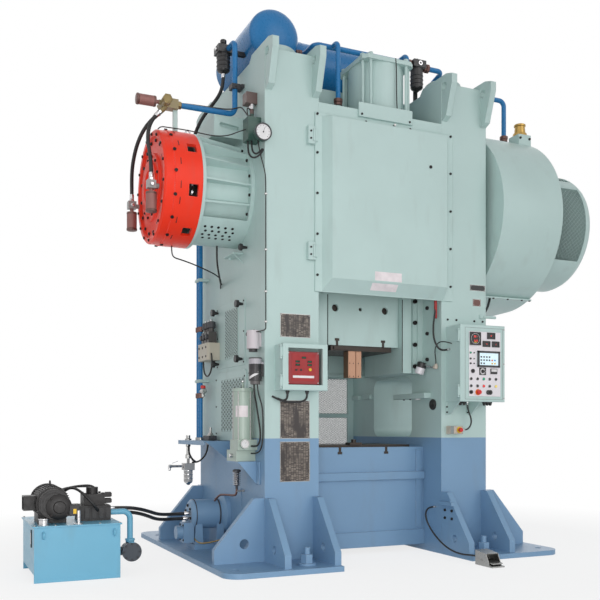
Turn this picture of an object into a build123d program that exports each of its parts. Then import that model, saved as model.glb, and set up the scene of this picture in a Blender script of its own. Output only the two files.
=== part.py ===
from build123d import *
import os
from math import cos, pi, radians, sin, sqrt, tan

os.makedirs("parts", exist_ok=True)

# Driving dimensions in millimetres: X right, Y back, Z up, floor at Z = 0
COL_OUT, COL_IN = 1160, 645          # outer and inner faces of both columns
COL_Y = 912                          # columns run from -COL_Y to +COL_Y
COL_TOP = 4475
BASE_T = 45                          # base plate thickness
BASE_F, BASE_R = -1406, 1580         # base plate front and rear edges
BASE_OUT = 1670                      # base plate outer edge
SHAFT_Y, SHAFT_Z = -222, 3345        # eccentric shaft axis, along X
STROKE = 180
SLIDE_X, SLIDE_F, SLIDE_B = 400, -530, 86
SLIDE_BOTTOM = 1979                  # at top dead centre
BED_F, BED_TOP = -590, 1012
WIN_Y, WIN_Z0, WIN_Z1, WIN_R = 388, 1102, 1707, 100
TANK_X, TANK_Z, TANK_R = -840, 4870, 246
PAN_X0, PAN_X1, PAN_Z0, PAN_Z1, PAN_F = 697, 1199, 1444, 2156, -1155
MON_X0, MON_X1, MON_Z0, MON_Z1, MON_F = -1068, -655, 1517, 1909, -1108
HPU_X0, HPU_X1, HPU_Y0, HPU_Y1, HPU_H = -3061, -2400, -915, -140, 437
BEARING_R = 240                      # main bearing seats in the columns
TIE_Y, TIE_R = (-550, 550), 85
ANCHOR_X, ANCHOR_Y, ANCHOR_R = 1540, (-1220, 1220), 31
HINGE_X, HINGE_Y, HINGE_Z = -702, -938, (3769, 2750)
BAL_X, BAL_Y, BAL_R, BAL_ROD_R = 130, -560, 265, 35
MOTOR_Y, MOTOR_Z, MOTOR_R = 1190, 2720, 190
PULLEY_R, GUARD_R = 165, 893
BRAKE_RING, BRAKE_END = -1650, -1985
VALVE_X, VALVE_Y, VALVE_Z = -1850, -354, 4060
FACE_VALVES = ((-580, 3262), (150, 3262))
PIPE_R = 25
RISER_X, RISER_Y = -1232, -354
HEADER_Y, FILTER_X = -460, 655
FILTER = (-1262, -120, 4560)
PAN_LID, PAN_HINGES = 38, (1540, 2060)
ESTOP_X, ESTOP_Z, STEM_R = 884, 1529, 12
STATION = (700, 842, 1138, 1214)
MON_LID = 30
PEDAL_X, PEDAL_Y = 640, -1660
KNOCK_Y, KNOCK_Z, KNOCK_R = 127, 370, 140

# Derived dimensions
ECC = STROKE / 2
JOURNAL_R = 175
ECC_R = JOURNAL_R + ECC + 7          # the eccentric encloses the journal
GAP = 0.5                            # running clearance on curved faces
YOKE_PLAY = 30                       # covers the constant-ratio stroke
COL_MID = (COL_OUT + COL_IN) / 2
HOSE_OUTLETS = (VALVE_Y - 22, VALVE_Y + 22)


def box(x0, x1, y0, y1, z0, z1):
    centre = Pos((x0 + x1) / 2, (y0 + y1) / 2, (z0 + z1) / 2)
    return centre * Box(abs(x1 - x0), abs(y1 - y0), abs(z1 - z0))


def rod(p, q, r):
    p, q = Vector(*p), Vector(*q)
    return Solid.make_cylinder(r, (q - p).length, Plane(origin=p, z_dir=q - p))


def cone(p, q, r0, r1):
    p, q = Vector(*p), Vector(*q)
    return Solid.make_cone(r0, r1, (q - p).length, Plane(origin=p, z_dir=q - p))


def prism_x(points, x0, x1):
    """Polygon of (y, z) points, from x0 to x1."""
    return extrude(Plane.YZ.offset(x0) * Polygon(*points, align=None), x1 - x0, dir=(1, 0, 0))


def prism_y(points, y0, y1):
    """Polygon of (x, z) points, from y0 to y1."""
    return extrude(Plane.XZ.offset(-y0) * Polygon(*points, align=None), y1 - y0, dir=(0, 1, 0))


def prism_z(points, z0, z1):
    return extrude(Plane.XY.offset(z0) * Polygon(*points, align=None), z1 - z0, dir=(0, 0, 1))


def turn_x(points, y=SHAFT_Y, z=SHAFT_Z, arc=360):
    """Revolve (x, radius) points about an axis along X."""
    profile = Pos(0, y, z) * (Plane.XZ * Polygon(*points, align=None))
    return revolve(profile, axis=Axis((0, y, z), (1, 0, 0)), revolution_arc=arc)


def about_shaft(shape, angle):
    return shape.rotate(Axis((0, SHAFT_Y, SHAFT_Z), (1, 0, 0)), angle)


def bend_radius(a, b, c, most):
    """Tangent-arc radius at b that leaves room on both runs."""
    one, two = (b - a), (c - b)
    half = radians(one.get_angle(two)) / 2
    return min(most, 0.45 * min(one.length, two.length) / tan(half))


def tube(points, r, bend):
    """Round bar along straight runs joined by tangent arcs."""
    path_points = [Vector(*p) for p in points]
    if len(path_points) == 2:
        return rod(points[0], points[1], r)
    radii = [bend_radius(*path_points[i:i + 3], bend) for i in range(len(path_points) - 2)]
    path = FilletPolyline(*path_points, radius=radii)
    start = Plane(origin=path @ 0, z_dir=path % 0)
    return sweep(start * Circle(r), path=path)


def mirror_x(shape):
    return mirror(shape, about=Plane.YZ)


def save(name, *shapes):
    solids = [s for shape in shapes for s in shape.solids()]
    made = solids[0] if len(solids) == 1 else Compound(children=solids)
    export_step(made, f"parts/{name}.step")


def fuse(first, *rest):
    made = first
    for shape in rest:
        made = made + shape
    return made


def hinge(x, y, z, half, r):
    """Vertical barrel hinge: the fixed barrels with their pin, the moving barrel, and its bore."""
    end = half + 2 + 1.8 * r
    fixed = Part() + rod((x, y, z - end), (x, y, z + end), 0.45 * r)
    fixed += rod((x, y, z - end), (x, y, z - half - 2), r)
    fixed += rod((x, y, z + half + 2), (x, y, z + end), r)
    moving = rod((x, y, z - half), (x, y, z + half), r)
    return fixed, moving, rod((x, y, z - half - 1), (x, y, z + half + 1), 0.45 * r + GAP)


# Frame

def lifting_lug(x0, x1):
    """Side-plate ear that leans forward over the column front, with a sling hole."""
    ear = [(-COL_Y, 4110), (-COL_Y - 70, 4140), (-COL_Y - 165, 4420), (-COL_Y - 165, 4505),
           (-COL_Y - 70, 4535), (-COL_Y + 330, 4535), (-COL_Y + 390, COL_TOP), (-COL_Y, COL_TOP)]
    hole = rod((x0 - 1, -COL_Y - 40, 4425), (x1 + 1, -COL_Y - 40, 4425), 38)
    return prism_x(ear, x0, x1) - hole


def window_tunnel(x0, x1):
    rect = RectangleRounded(2 * WIN_Y, WIN_Z1 - WIN_Z0, WIN_R)
    at = Plane.YZ.offset(x0) * Pos(0, (WIN_Z0 + WIN_Z1) / 2)
    return extrude(at * rect, x1 - x0)


def right_column_shape():
    wall = 70
    col = box(COL_IN, COL_OUT, -COL_Y, COL_Y, BASE_T, COL_TOP)
    for z0, z1 in ((160, 960), (1900, 4310)):
        col -= box(COL_IN + wall, COL_OUT - wall, -COL_Y + wall, COL_Y - wall, z0, z1)
    col -= window_tunnel(COL_IN - 1, COL_OUT + 1)
    col -= rod((COL_IN - 1, SHAFT_Y, SHAFT_Z), (COL_OUT + 1, SHAFT_Y, SHAFT_Z), BEARING_R + GAP)
    for y in TIE_Y:
        col -= rod((COL_MID, y, 120), (COL_MID, y, COL_TOP + 1), TIE_R + 3)
    for x0 in (COL_IN + 5, COL_OUT - 65):
        lug = lifting_lug(x0, x0 + 60)
        col += lug
        col += mirror(lug, about=Plane.XZ)
    return col


def columns():
    right = right_column_shape()
    left = mirror_x(right)
    for z in HINGE_Z:
        left += box(-762, HINGE_X - 16, HINGE_Y - 10, -COL_Y, z - 78, z + 78)
        left += hinge(HINGE_X, HINGE_Y, z, 51, 14)[0]
        for z0 in (z - 78, z + 53):
            left += box(HINGE_X - 20, HINGE_X, HINGE_Y - 10, HINGE_Y + 10, z0, z0 + 25)
    save("left_column", left)
    save("right_column", right)


def crown():
    front = box(-COL_IN, COL_IN, -COL_Y, -852, 2440, 4080)
    front -= box(-555, 595, -COL_Y - 1, -851, 2570, 3890)
    front += box(-252, 312, -932, -COL_Y, 4012, 4142)
    save("crown_front", front)
    deck = box(-COL_IN, COL_IN, -852, 852, 3900, 3960)
    deck += box(-COL_IN, COL_IN, 852, COL_Y, 2440, 4080)
    deck -= rod((BAL_X, BAL_Y, 3899), (BAL_X, BAL_Y, 3961), BAL_ROD_R + 4)
    save("crown", deck)


def t_slot(x, z, up):
    """T-slot along Y, opening at z; up is +1 for a top face, -1 for a bottom face."""
    lo, hi = sorted((z, z - up * 42))
    neck = box(x - 14, x + 14, -1000, 1000, lo - 1, hi + 1)
    lo, hi = sorted((z - up * 42, z - up * 66))
    return neck + box(x - 25, x + 25, -1000, 1000, lo, hi)


def bed():
    body = box(-COL_IN, COL_IN, BED_F, 590, 60, BED_TOP)
    body -= box(-COL_IN + 90, COL_IN - 90, BED_F + 90, 500, 59, 760)
    for x in (-270, 230):
        body -= t_slot(x, BED_TOP, 1)
    body += box(-COL_IN, 640, BED_F - 40, BED_F, 700, 772)
    body += box(560, 615, BED_F - 14, BED_F, 230, 985)
    body += box(-COL_IN, COL_IN, BED_F - 22, BED_F, 60, 205)
    save("bed", body)
    plate = box(-520, 520, -540, 120, BED_TOP, BED_TOP + 22)
    clamp = box(-150, -20, -560, -470, BED_TOP + 22, BED_TOP + 44)
    clamp += rod((-85, -515, BED_TOP + 44), (-85, -515, BED_TOP + 74), 24)
    save("bolster", plate + clamp)


def gusset_points(reach, top, foot):
    """Outline of a foot gusset; first coordinate is the distance from the column."""
    return [(0, BASE_T), (reach, BASE_T), (reach, BASE_T + foot), (95, top), (0, top)]


def base(sign):
    """Base plate with its gussets, built for the right side and mirrored for the left."""
    plate = box(COL_IN, BASE_OUT, BASE_F, BASE_R, 0, BASE_T)
    corners = plate.edges().filter_by(Axis.Z).group_by(Axis.X)[-1]
    plate = fillet(corners, 150)
    front, rear, side = 440, 560, 455
    for x0 in (COL_IN, COL_OUT - 60):
        leg = prism_x([(-COL_Y - d, z) for d, z in gusset_points(front, 590, 110)], x0, x0 + 60)
        leg -= rod((x0 - 1, -COL_Y - 215, 170), (x0 + 61, -COL_Y - 215, 170), 36)
        plate += leg
        plate += prism_x([(COL_Y + d, z) for d, z in gusset_points(rear, 590, 110)], x0, x0 + 60)
    for y0 in (-COL_Y + 4, COL_Y - 64):
        leg = prism_y([(COL_OUT + d, z) for d, z in gusset_points(side, 590, 120)], y0, y0 + 60)
        leg -= rod((COL_OUT + 185, y0 - 1, 205), (COL_OUT + 185, y0 + 61, 205), 42)
        plate += leg
    for y in ANCHOR_Y:
        plate -= rod((ANCHOR_X, y, -1), (ANCHOR_X, y, BASE_T + 1), ANCHOR_R)
        plate -= rod((COL_MID, y, -1), (COL_MID, y, BASE_T + 1), ANCHOR_R)
    return plate if sign > 0 else mirror_x(plate)


def hex_bar(p, flats, z0, z1):
    return extrude(Pos(p[0], p[1], z0) * RegularPolygon(flats / sqrt(3), 6), z1 - z0)


def fastened_frame():
    save("left_base", base(-1))
    save("right_base", base(1))
    rods, bolts = [], []
    for x in (-COL_MID, COL_MID):
        for y in TIE_Y:
            stud = rod((x, y, 220), (x, y, COL_TOP + 2), TIE_R)
            nut = rod((x, y, COL_TOP), (x, y, COL_TOP + 145), 177)
            nut = chamfer(nut.edges().group_by(Axis.Z)[-1], 14)
            rods.append(fuse(Part() + stud, nut, rod((x, y, 180), (x, y, 320), 150)))
        for y in ANCHOR_Y:
            bolt = rod((x, y, 3), (x, y, BASE_T + 150), ANCHOR_R - 4)
            bolts.append(fuse(Part() + bolt, rod((x, y, BASE_T), (x, y, BASE_T + 20), 78),
                              hex_bar((x, y), 95, BASE_T + 20, BASE_T + 92)))
    save("tie_rods", *rods)
    save("anchor_bolts", *bolts)


# Drive

def main_bearings():
    sleeve = turn_x([(COL_IN - 28, JOURNAL_R + GAP), (COL_IN - 28, 300), (COL_IN, 300),
                     (COL_IN, BEARING_R), (COL_OUT, BEARING_R), (COL_OUT, JOURNAL_R + GAP)])
    save("main_bearings", sleeve, mirror_x(sleeve))


def eccentric_shaft():
    shaft = turn_x([(-1900, 0), (-1900, 150), (-1640, 150), (-1640, JOURNAL_R), (1200, JOURNAL_R),
                    (1200, 150), (2380, 150), (2380, 0)])
    web = 285
    shaft += rod((-web, SHAFT_Y, SHAFT_Z + ECC), (web, SHAFT_Y, SHAFT_Z + ECC), ECC_R)
    shaft += turn_x([(-1880, 0), (-1880, 240), (-1850, 240), (-1850, 440), (-1770, 440),
                     (-1770, 240), (-1700, 240), (-1700, 0)])
    shaft += turn_x([(2010, 0), (2010, 520), (2170, 520), (2170, 330), (2330, 330), (2330, 0)])
    save("eccentric_shaft", shaft)


def slide():
    yoke_z = SHAFT_Z + ECC
    half_w, half_h = ECC_R + ECC + 25, ECC_R + YOKE_PLAY
    yoke_f, yoke_b = SHAFT_Y - half_w - 80, SHAFT_Y + half_w + 80
    top = yoke_z + half_h + 110
    body = box(-SLIDE_X, SLIDE_X, SLIDE_F, SLIDE_B, SLIDE_BOTTOM, 2640)
    body += prism_x([(SLIDE_F, 2640), (yoke_f, 2850), (yoke_f, top), (yoke_b, top),
                     (yoke_b, 2850), (SLIDE_B, 2640)], -280, 280)
    body -= box(-281, 281, SHAFT_Y - half_w, SHAFT_Y + half_w, yoke_z - half_h, yoke_z + half_h)
    for x in (-270, 230):
        body -= t_slot(x, SLIDE_BOTTOM, -1)
    for x, r in ((-290, 34), (-20, 18), (250, 34)):
        body -= rod((x, SLIDE_F - 1, 2330), (x, SLIDE_F + 60, 2330), r)
    save("slide", body)
    holder = box(-330, 330, SLIDE_F + 15, 70, SLIDE_BOTTOM - 48, SLIDE_BOTTOM)
    holder += box(-300, -120, SLIDE_F + 5, SLIDE_F + 15, SLIDE_BOTTOM - 40, SLIDE_BOTTOM - 5)
    save("die_holder", holder)
    tool = box(-135, 5, -500, -400, 1676, SLIDE_BOTTOM - 48)
    tool -= box(-58, -50, -501, -488, 1675, SLIDE_BOTTOM - 47)
    save("tool_block", tool)
    piston = rod((BAL_X, BAL_Y, top), (BAL_X, BAL_Y, 4330), BAL_ROD_R)
    piston = Part() + piston + rod((BAL_X, BAL_Y, 4330), (BAL_X, BAL_Y, 4400), BAL_R - 21)
    save("balance_rod", piston)


def slide_gibs():
    outline = [(SLIDE_X + 3, -600), (505, -600), (545, -562), (590, -562), (590, -588), (COL_IN, -588),
               (COL_IN, 156), (SLIDE_X + 3, 156)]
    gib = prism_z(outline, 1729, 2760)
    save("slide_gibs", gib, mirror_x(gib))


def flywheel():
    wheel = turn_x([(1290, 150 + GAP), (1290, 330), (1420, 330), (1420, 660), (1300, 660), (1300, 820),
                    (1860, 820), (1860, 660), (1740, 660), (1740, 330), (1880, 330), (1880, 150 + GAP)])
    save("flywheel", wheel)


def belt_outline(big, small):
    wheel = Pos(SHAFT_Y, SHAFT_Z) * Circle(big)
    pulley = Pos(MOTOR_Y, MOTOR_Z) * Circle(small)
    return make_hull(wheel.edges() + pulley.edges())


def flywheel_guard():
    x0, x1, t, r = 1218, 1943, 12, GUARD_R
    shell = extrude(Plane.YZ.offset(x0) * belt_outline(r, 320), x1 - x0)
    shell -= extrude(Plane.YZ.offset(x0 + t) * belt_outline(r - t, 320 - t), x1 - x0 - 2 * t)
    shell -= rod((x0 - 1, SHAFT_Y, SHAFT_Z), (x0 + t + 1, SHAFT_Y, SHAFT_Z), 480)
    shell -= rod((x1 - t - 1, SHAFT_Y, SHAFT_Z), (x1 + 1, SHAFT_Y, SHAFT_Z), 470)
    shell -= rod((x0 - 1, MOTOR_Y, MOTOR_Z), (x0 + t + 1, MOTOR_Y, MOTOR_Z), 60)
    lip_y = SHAFT_Y - sqrt(r ** 2 - 815 ** 2)
    lip = box(x0, x1, lip_y - 55, lip_y + 120, SHAFT_Z - 822, SHAFT_Z - 808)
    shell += lip - rod((x0 - 1, SHAFT_Y, SHAFT_Z), (x1 + 1, SHAFT_Y, SHAFT_Z), r - 5)
    seat = box(1780, 1938, -640, -480, SHAFT_Z + 740, SHAFT_Z + 900)
    shell += seat - rod((x0, SHAFT_Y, SHAFT_Z), (x1, SHAFT_Y, SHAFT_Z), r - 5)
    for z in (SHAFT_Z - 640, SHAFT_Z + 700):
        shell += box(COL_OUT, x0, -420, -340, z - 40, z + 40)
    save("flywheel_guard", shell)


def clutch_guard():
    x0, x1, r, t = 1943, 2590, 620, 10
    shell = turn_x([(x0, r), (x1 - 70, r), (x1 - 22, r - 20), (x1, r - 70), (x1, 0), (x1 - t, 0),
                    (x1 - t, r - 72), (x1 - 30, r - 27), (x1 - 73, r - t), (x0 + t, r - t),
                    (x0 + t, 480), (x0, 480)])
    half = radians(38)
    wedge = [(0, 0), (-900 * cos(half), 900 * sin(half)), (-1300, 0), (-900 * cos(half), -900 * sin(half))]
    window = Pos(0, SHAFT_Y, SHAFT_Z) * prism_x(wedge, x0 + 70, x1 - 95)
    window -= rod((x0, SHAFT_Y, SHAFT_Z), (x1, SHAFT_Y, SHAFT_Z), r - 60)
    for turn in (0, -90, -180):
        shell -= about_shaft(window, turn)
    save("clutch_guard", shell)


def main_motor():
    body = rod((480, MOTOR_Y, MOTOR_Z), (1130, MOTOR_Y, MOTOR_Z), MOTOR_R)
    body = Part() + body + rod((1130, MOTOR_Y, MOTOR_Z), (1160, MOTOR_Y, MOTOR_Z), MOTOR_R + 25)
    body += rod((440, MOTOR_Y, MOTOR_Z), (480, MOTOR_Y, MOTOR_Z), MOTOR_R - 30)
    body += box(700, 900, MOTOR_Y + 120, MOTOR_Y + 290, MOTOR_Z + 20, MOTOR_Z + 190)
    body += box(560, 1080, MOTOR_Y - 170, MOTOR_Y + 170, MOTOR_Z - 235, MOTOR_Z - 120)
    save("main_motor", body)
    pulley = rod((1160 + GAP, MOTOR_Y, MOTOR_Z), (1800, MOTOR_Y, MOTOR_Z), 40)
    pulley = Part() + pulley + rod((1330, MOTOR_Y, MOTOR_Z), (1780, MOTOR_Y, MOTOR_Z), PULLEY_R)
    save("motor_pulley", pulley)


def motor_shelf():
    shelf = box(520, 1120, COL_Y, MOTOR_Y + 200, MOTOR_Z - 265, MOTOR_Z - 235)
    for x0 in (COL_IN + 20, 1070):
        shelf += prism_x([(COL_Y, MOTOR_Z - 265), (MOTOR_Y + 180, MOTOR_Z - 265), (COL_Y, MOTOR_Z - 700)],
                         x0, x0 + 30)
    return shelf


# Brake

def brake():
    inner = -BRAKE_RING - 30
    housing = turn_x([(-COL_OUT, 300), (-COL_OUT, 466), (-COL_OUT - 35, 466), (-COL_OUT - 35, 396),
                      (-inner, 396), (-inner, 505), (BRAKE_RING, 505), (BRAKE_RING, 380),
                      (-COL_OUT - 55, 380), (-COL_OUT - 55, 300)])
    rib = prism_y([(-inner - 1, 390), (-inner - 1, 498), (-COL_OUT - 34, 446), (-COL_OUT - 34, 390)], -9, 9)
    rib = Pos(0, SHAFT_Y, SHAFT_Z) * rib
    for step in range(11):
        housing += about_shaft(rib, 22.5 * step - 112.5)
    sheet = turn_x([(-inner, 458), (-inner, 466), (-COL_OUT - 35, 466), (-COL_OUT - 35, 458)], arc=100)
    housing += about_shaft(sheet, 130)
    save("brake_housing", housing)
    casing = turn_x([(BRAKE_RING, 505), (-1895, 505), (-1900, 497), (-1970, 497), (BRAKE_END, 482),
                     (BRAKE_END, 440), (-1962, 430), (-1962, 300), (BRAKE_END, 290), (BRAKE_END, 240),
                     (-2005, 232), (-2005, 150), (BRAKE_END, 142), (BRAKE_END, 0), (-1935, 0),
                     (-1935, 470), (BRAKE_RING, 470)])
    slot = box(-1772, -1690, SHAFT_Y - 560, SHAFT_Y - 440, SHAFT_Z - 50, SHAFT_Z + 50)
    for step in range(8):
        casing -= about_shaft(slot, 45 * step - 31)
    save("brake_casing", casing)


def brake_air():
    post = box(VALVE_X + 35, VALVE_X + 75, VALVE_Y - 12, VALVE_Y + 12, SHAFT_Z + 482, VALVE_Z - 40)
    post -= rod((-2100, SHAFT_Y, SHAFT_Z), (-1600, SHAFT_Y, SHAFT_Z), 505.3)
    block = box(VALVE_X - 60, VALVE_X + 75, VALVE_Y - 45, VALVE_Y + 45, VALVE_Z - 40, VALVE_Z + 45)
    block += rod((VALVE_X - 40, VALVE_Y - 100, VALVE_Z + 10), (VALVE_X - 40, VALVE_Y + 90, VALVE_Z + 10), 42)
    for y in HOSE_OUTLETS:
        block += rod((VALVE_X - 25, y, VALVE_Z - 20), (VALVE_X - 83, y, VALVE_Z - 78), 20)
    block += rod((VALVE_X - 60, VALVE_Y, VALVE_Z + 10), (VALVE_X - 92, VALVE_Y, VALVE_Z + 10), 22)
    shapes, drums = [block + post], [silencer((VALVE_X - 92, VALVE_Y, VALVE_Z + 10), (-1, 0, 0))]
    for y, z in FACE_VALVES:
        neck = rod((BRAKE_END + 23, y, z), (BRAKE_END - 52, y, z), 20)
        neck = Part() + neck - rod((-2000, SHAFT_Y, SHAFT_Z), (-1962, SHAFT_Y, SHAFT_Z), 600)
        shapes.append(neck + box(BRAKE_END - 120, BRAKE_END - 45, y - 32, y + 32, z - 30, z + 40))
        drums.append(silencer((BRAKE_END - 82, y, z - 30), (0, 0, -1)))
    save("brake_valves", *shapes)
    save("silencers", *drums)


def silencer(at, direction):
    along = Vector(*direction).normalized()
    at = Vector(*at)
    neck = rod(at, at + along * 32, 17)
    return Part() + neck + rod(at + along * 30, at + along * 200, 46)


# Air and lubrication

def air_tank():
    y0, y1, dome = -444, 720, 110
    shell = rod((TANK_X, y0 + dome, TANK_Z), (TANK_X, y1 - dome, TANK_Z), TANK_R)
    ball = Solid.make_sphere(TANK_R, Plane((0, 0, 0)), -90, 90, 360)
    cap = scale(ball, by=(1, dome / TANK_R, 1))
    shell = fuse(Part() + shell, Pos(TANK_X, y0 + dome, TANK_Z) * cap, Pos(TANK_X, y1 - dome, TANK_Z) * cap)
    for y in (-180, 250):
        leg = box(TANK_X - 170, TANK_X + 170, y - 40, y + 40, COL_TOP, TANK_Z - 60)
        shell += leg - rod((TANK_X, y - 41, TANK_Z), (TANK_X, y + 41, TANK_Z), TANK_R - 2)
    save("air_tank", shell)


def balance_cylinder():
    z0, z1 = 3960, 4650
    barrel = Part() + rod((BAL_X, BAL_Y, z0), (BAL_X, BAL_Y, z1), BAL_R)
    half = BAL_R + 8
    for z in (z0, z1 - 40):
        plate = box(BAL_X - half, BAL_X + half, BAL_Y - half, BAL_Y + half, z, z + 40)
        barrel += chamfer(plate.edges().filter_by(Axis.Z), 45)
    barrel -= rod((BAL_X, BAL_Y, z0 - 1), (BAL_X, BAL_Y, z1 - 40), BAL_R - 20)
    for x in (-1, 1):
        for y in (-1, 1):
            for a, b in ((245, 190), (190, 245)):
                foot = (BAL_X + a * x, BAL_Y + b * y)
                barrel += rod((*foot, z0 + 20), (*foot, z1 + 28), 15)
    save("balance_cylinder", barrel)


def air_pipes():
    left = tube([(VALVE_X + 75, RISER_Y, VALVE_Z + 10), (RISER_X, RISER_Y, VALVE_Z + 10),
                 (RISER_X, RISER_Y, 4745), (RISER_X, FILTER[1] - 70, 4745)], PIPE_R, 62)
    header = tube([(TANK_X + TANK_R - 60, -200, 4818), (-470, -200, 4818), (-470, HEADER_Y, 4818),
                   (FILTER_X - 70, HEADER_Y, 4818)], PIPE_R, 62)
    header -= rod((TANK_X, -400, TANK_Z), (TANK_X, 0, TANK_Z), TANK_R + 0.3)
    drops = []
    for x, y in ((-292, -593), (444, -620)):
        drops.append(tube([(x, HEADER_Y, 4818), (x, y, 4818), (x, y, 3960)], PIPE_R - 2, 58))
    risers = [rod((-1245, y, 1090), (-1245, y, 3560), 22) for y in (645, 715)]
    right = tube([(FILTER_X + 70, HEADER_Y, 4805), (960, HEADER_Y, 4805), (960, -230, 4745),
                  (1910, -230, 4745), (1910, -230, 4200)], PIPE_R, 62)
    right -= rod((1800, SHAFT_Y, SHAFT_Z), (2000, SHAFT_Y, SHAFT_Z), GUARD_R)
    save("air_pipes", left, fuse(Part() + header, *drops), *risers, right)


def filter_unit(x, y, z, r, height):
    bowl = rod((x, y, z), (x, y, z + height), r)
    return Part() + bowl + box(x - r - 8, x + r + 8, y - r - 8, y + r + 8, z + height, z + height + 70)


def air_filters():
    x, y, z = FILTER
    left = filter_unit(x, y, z, 62, 150)
    left += rod((x, y, z + 200), (x, y, z + 250), 22)
    arm = box(x + 60, TANK_X - TANK_R + 40, y - 25, y + 25, z + 165, z + 200)
    left += arm - rod((TANK_X, y - 40, TANK_Z), (TANK_X, y + 40, TANK_Z), TANK_R + 0.3)
    right = filter_unit(FILTER_X, HEADER_Y, 4590, 62, 190)
    right += box(FILTER_X, FILTER_X + 45, HEADER_Y + 55, HEADER_Y + 67, COL_TOP, 4820)
    low = filter_unit(-1330, 800, 640, 46, 120)
    low += box(-1500, -1370, 788, 812, 790, 812)
    low += box(-1342, -1318, 788, 812, 820, 1060)
    save("air_filters", left, right, low)


def pressure_gauge():
    body = box(-1280, -COL_OUT, -830, -700, 3690, 3890)
    body += box(-1262, -COL_OUT, -740, -640, 4040, 4138)
    body += rod((-1200, -825, 3722), (-1200, -920, 3722), 38)
    body += rod((-1190, -918, 3722), (-1190, -956, 3722), 74)
    body += rod((-1205, -720, 3885), (-1205, -720, 4045), 18)
    save("pressure_gauge", body)


def valve_manifold():
    block = box(-1293, -COL_OUT - 7, 265, 590, 1866, 2037)
    block = chamfer(block.edges().filter_by(Axis.Z).group_by(Axis.X)[0], 18)
    block += box(-COL_OUT - 7, -COL_OUT, 380, 580, 1880, 2020)
    for y in (300, 385, 470):
        block += box(-1270, -1190, y, y + 62, 2037, 2150)
        block += rod((-1230, y + 31, 2150), (-1230, y + 31, 2190), 24)
    save("valve_manifold", block)


def lubricator():
    cup = rod((-1224, -800, 1880), (-1224, -800, 2040), 55)
    cup = Part() + cup + rod((-1224, -800, 1855), (-1224, -800, 1880), 38)
    cup += box(-1180, -COL_OUT, -835, -765, 1900, 2020)
    pump = rod((-1224, -852, 1600), (-1224, -852, 1800), 56)
    pump = Part() + pump + rod((-1224, -852, 1570), (-1224, -852, 1600), 44)
    pump += rod((-1224, -852, 1662), (-1224, -852, 1672), 60)
    pump += box(-1180, -COL_OUT, -890, -814, 1640, 1760)
    save("lubricator", cup, pump)


def grease_unit():
    x, y = -1256, -633
    unit = rod((x, y, 1090), (x, y, 1530), 84)
    unit = Part() + unit + rod((x, y, 1515), (x, y, 1545), 92)
    unit += rod((x, y, 1545), (x, y, 1600), 9)
    unit += box(x - 84, -COL_OUT, y - 105, y + 105, 1000, 1092)
    unit += box(x - 84, -COL_OUT, y - 60, y + 190, 900, 1000)
    unit += rod((x - 30, y - 105, 1055), (x - 30, y - 132, 1055), 40)
    save("grease_unit", unit)


def shelf_brackets():
    shelf = box(-1420, -COL_OUT, -20, 860, 1060, 1070)
    shelf += box(-1420, -1410, -20, 860, 1030, 1060)
    shelf += prism_y([(-COL_OUT, 1060), (-1400, 1060), (-COL_OUT, 880)], -20, -10)
    foot = box(-1340, -COL_OUT, -740, -430, 885, 900)
    foot += prism_y([(-COL_OUT, 885), (-1330, 885), (-COL_OUT, 690)], -740, -728)
    save("shelf_brackets", shelf, foot, motor_shelf())


def side_panels():
    cover = box(-COL_OUT - 7, -COL_OUT, -435, 355, 1775, 2385)
    vent = box(-COL_OUT - 13, -COL_OUT - 7, -275, 92, 1850, 2330)
    screen = box(-COL_OUT - 10, -COL_OUT, -485, 400, 1075, 1735)
    screen = fillet(screen.edges().filter_by(Axis.X), 60)
    case = box(-1436, -COL_OUT, -371, 60, 3830, 4038)
    case -= rod((-1640, SHAFT_Y, SHAFT_Z), (-1100, SHAFT_Y, SHAFT_Z), 520)
    slot = SlotOverall(190, 42)
    case -= extrude(Plane.XZ.offset(371) * Pos(-1290, 3945) * (Rot(0, 0, -6) * slot), -40)
    save("side_panels", cover + vent, screen, case)
    knobs = []
    for y, z in ((309, 2333), (-389, 2331), (-376, 1828), (293, 1825)):
        knobs.append(fuse(Part() + cone((-COL_OUT - 7, y, z), (-COL_OUT - 52, y, z), 10, 20),
                          rod((-COL_OUT - 52, y, z), (-COL_OUT - 80, y, z), 34)))
    save("cover_knobs", *knobs)


# Controls

def lid(x0, x1, z0, z1, y0, y1):
    """Box lid with its front edges rounded."""
    made = box(x0, x1, y0, y1, z0, z1)
    return fillet(made.faces().sort_by(Axis.Y)[0].edges(), 8)


def hinged_box(body, x, front, back, heights):
    """Adds the fixed hinge barrels and their ears to the left side of a box."""
    for z in heights:
        body += hinge(x - 17, front + 14, z, 42, 9)[0]
        for z0 in (z - 60, z + 44):
            body += box(x - 26, x - 8, front + 14, back + 20, z0, z0 + 16)
            body += box(x - 26, x, back + 2, back + 20, z0, z0 + 16)
    return body


def hinged_lid(made, x, front, heights):
    """Adds the moving hinge barrels to the left edge of a lid."""
    for z in heights:
        barrel, bore = hinge(x - 17, front + 14, z, 42, 9)[1:]
        made += barrel + box(x - 17, x, front + 8, front + 20, z - 42, z + 42)
        made -= bore
    return made


def stop_head(x, face, z):
    """Mushroom button whose stem runs in a blind hole behind the face."""
    stem = rod((x, face + 6, z), (x, face - 14, z), STEM_R)
    return Part() + stem + rod((x, face - 14, z), (x, face - 34, z), 20)


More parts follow.
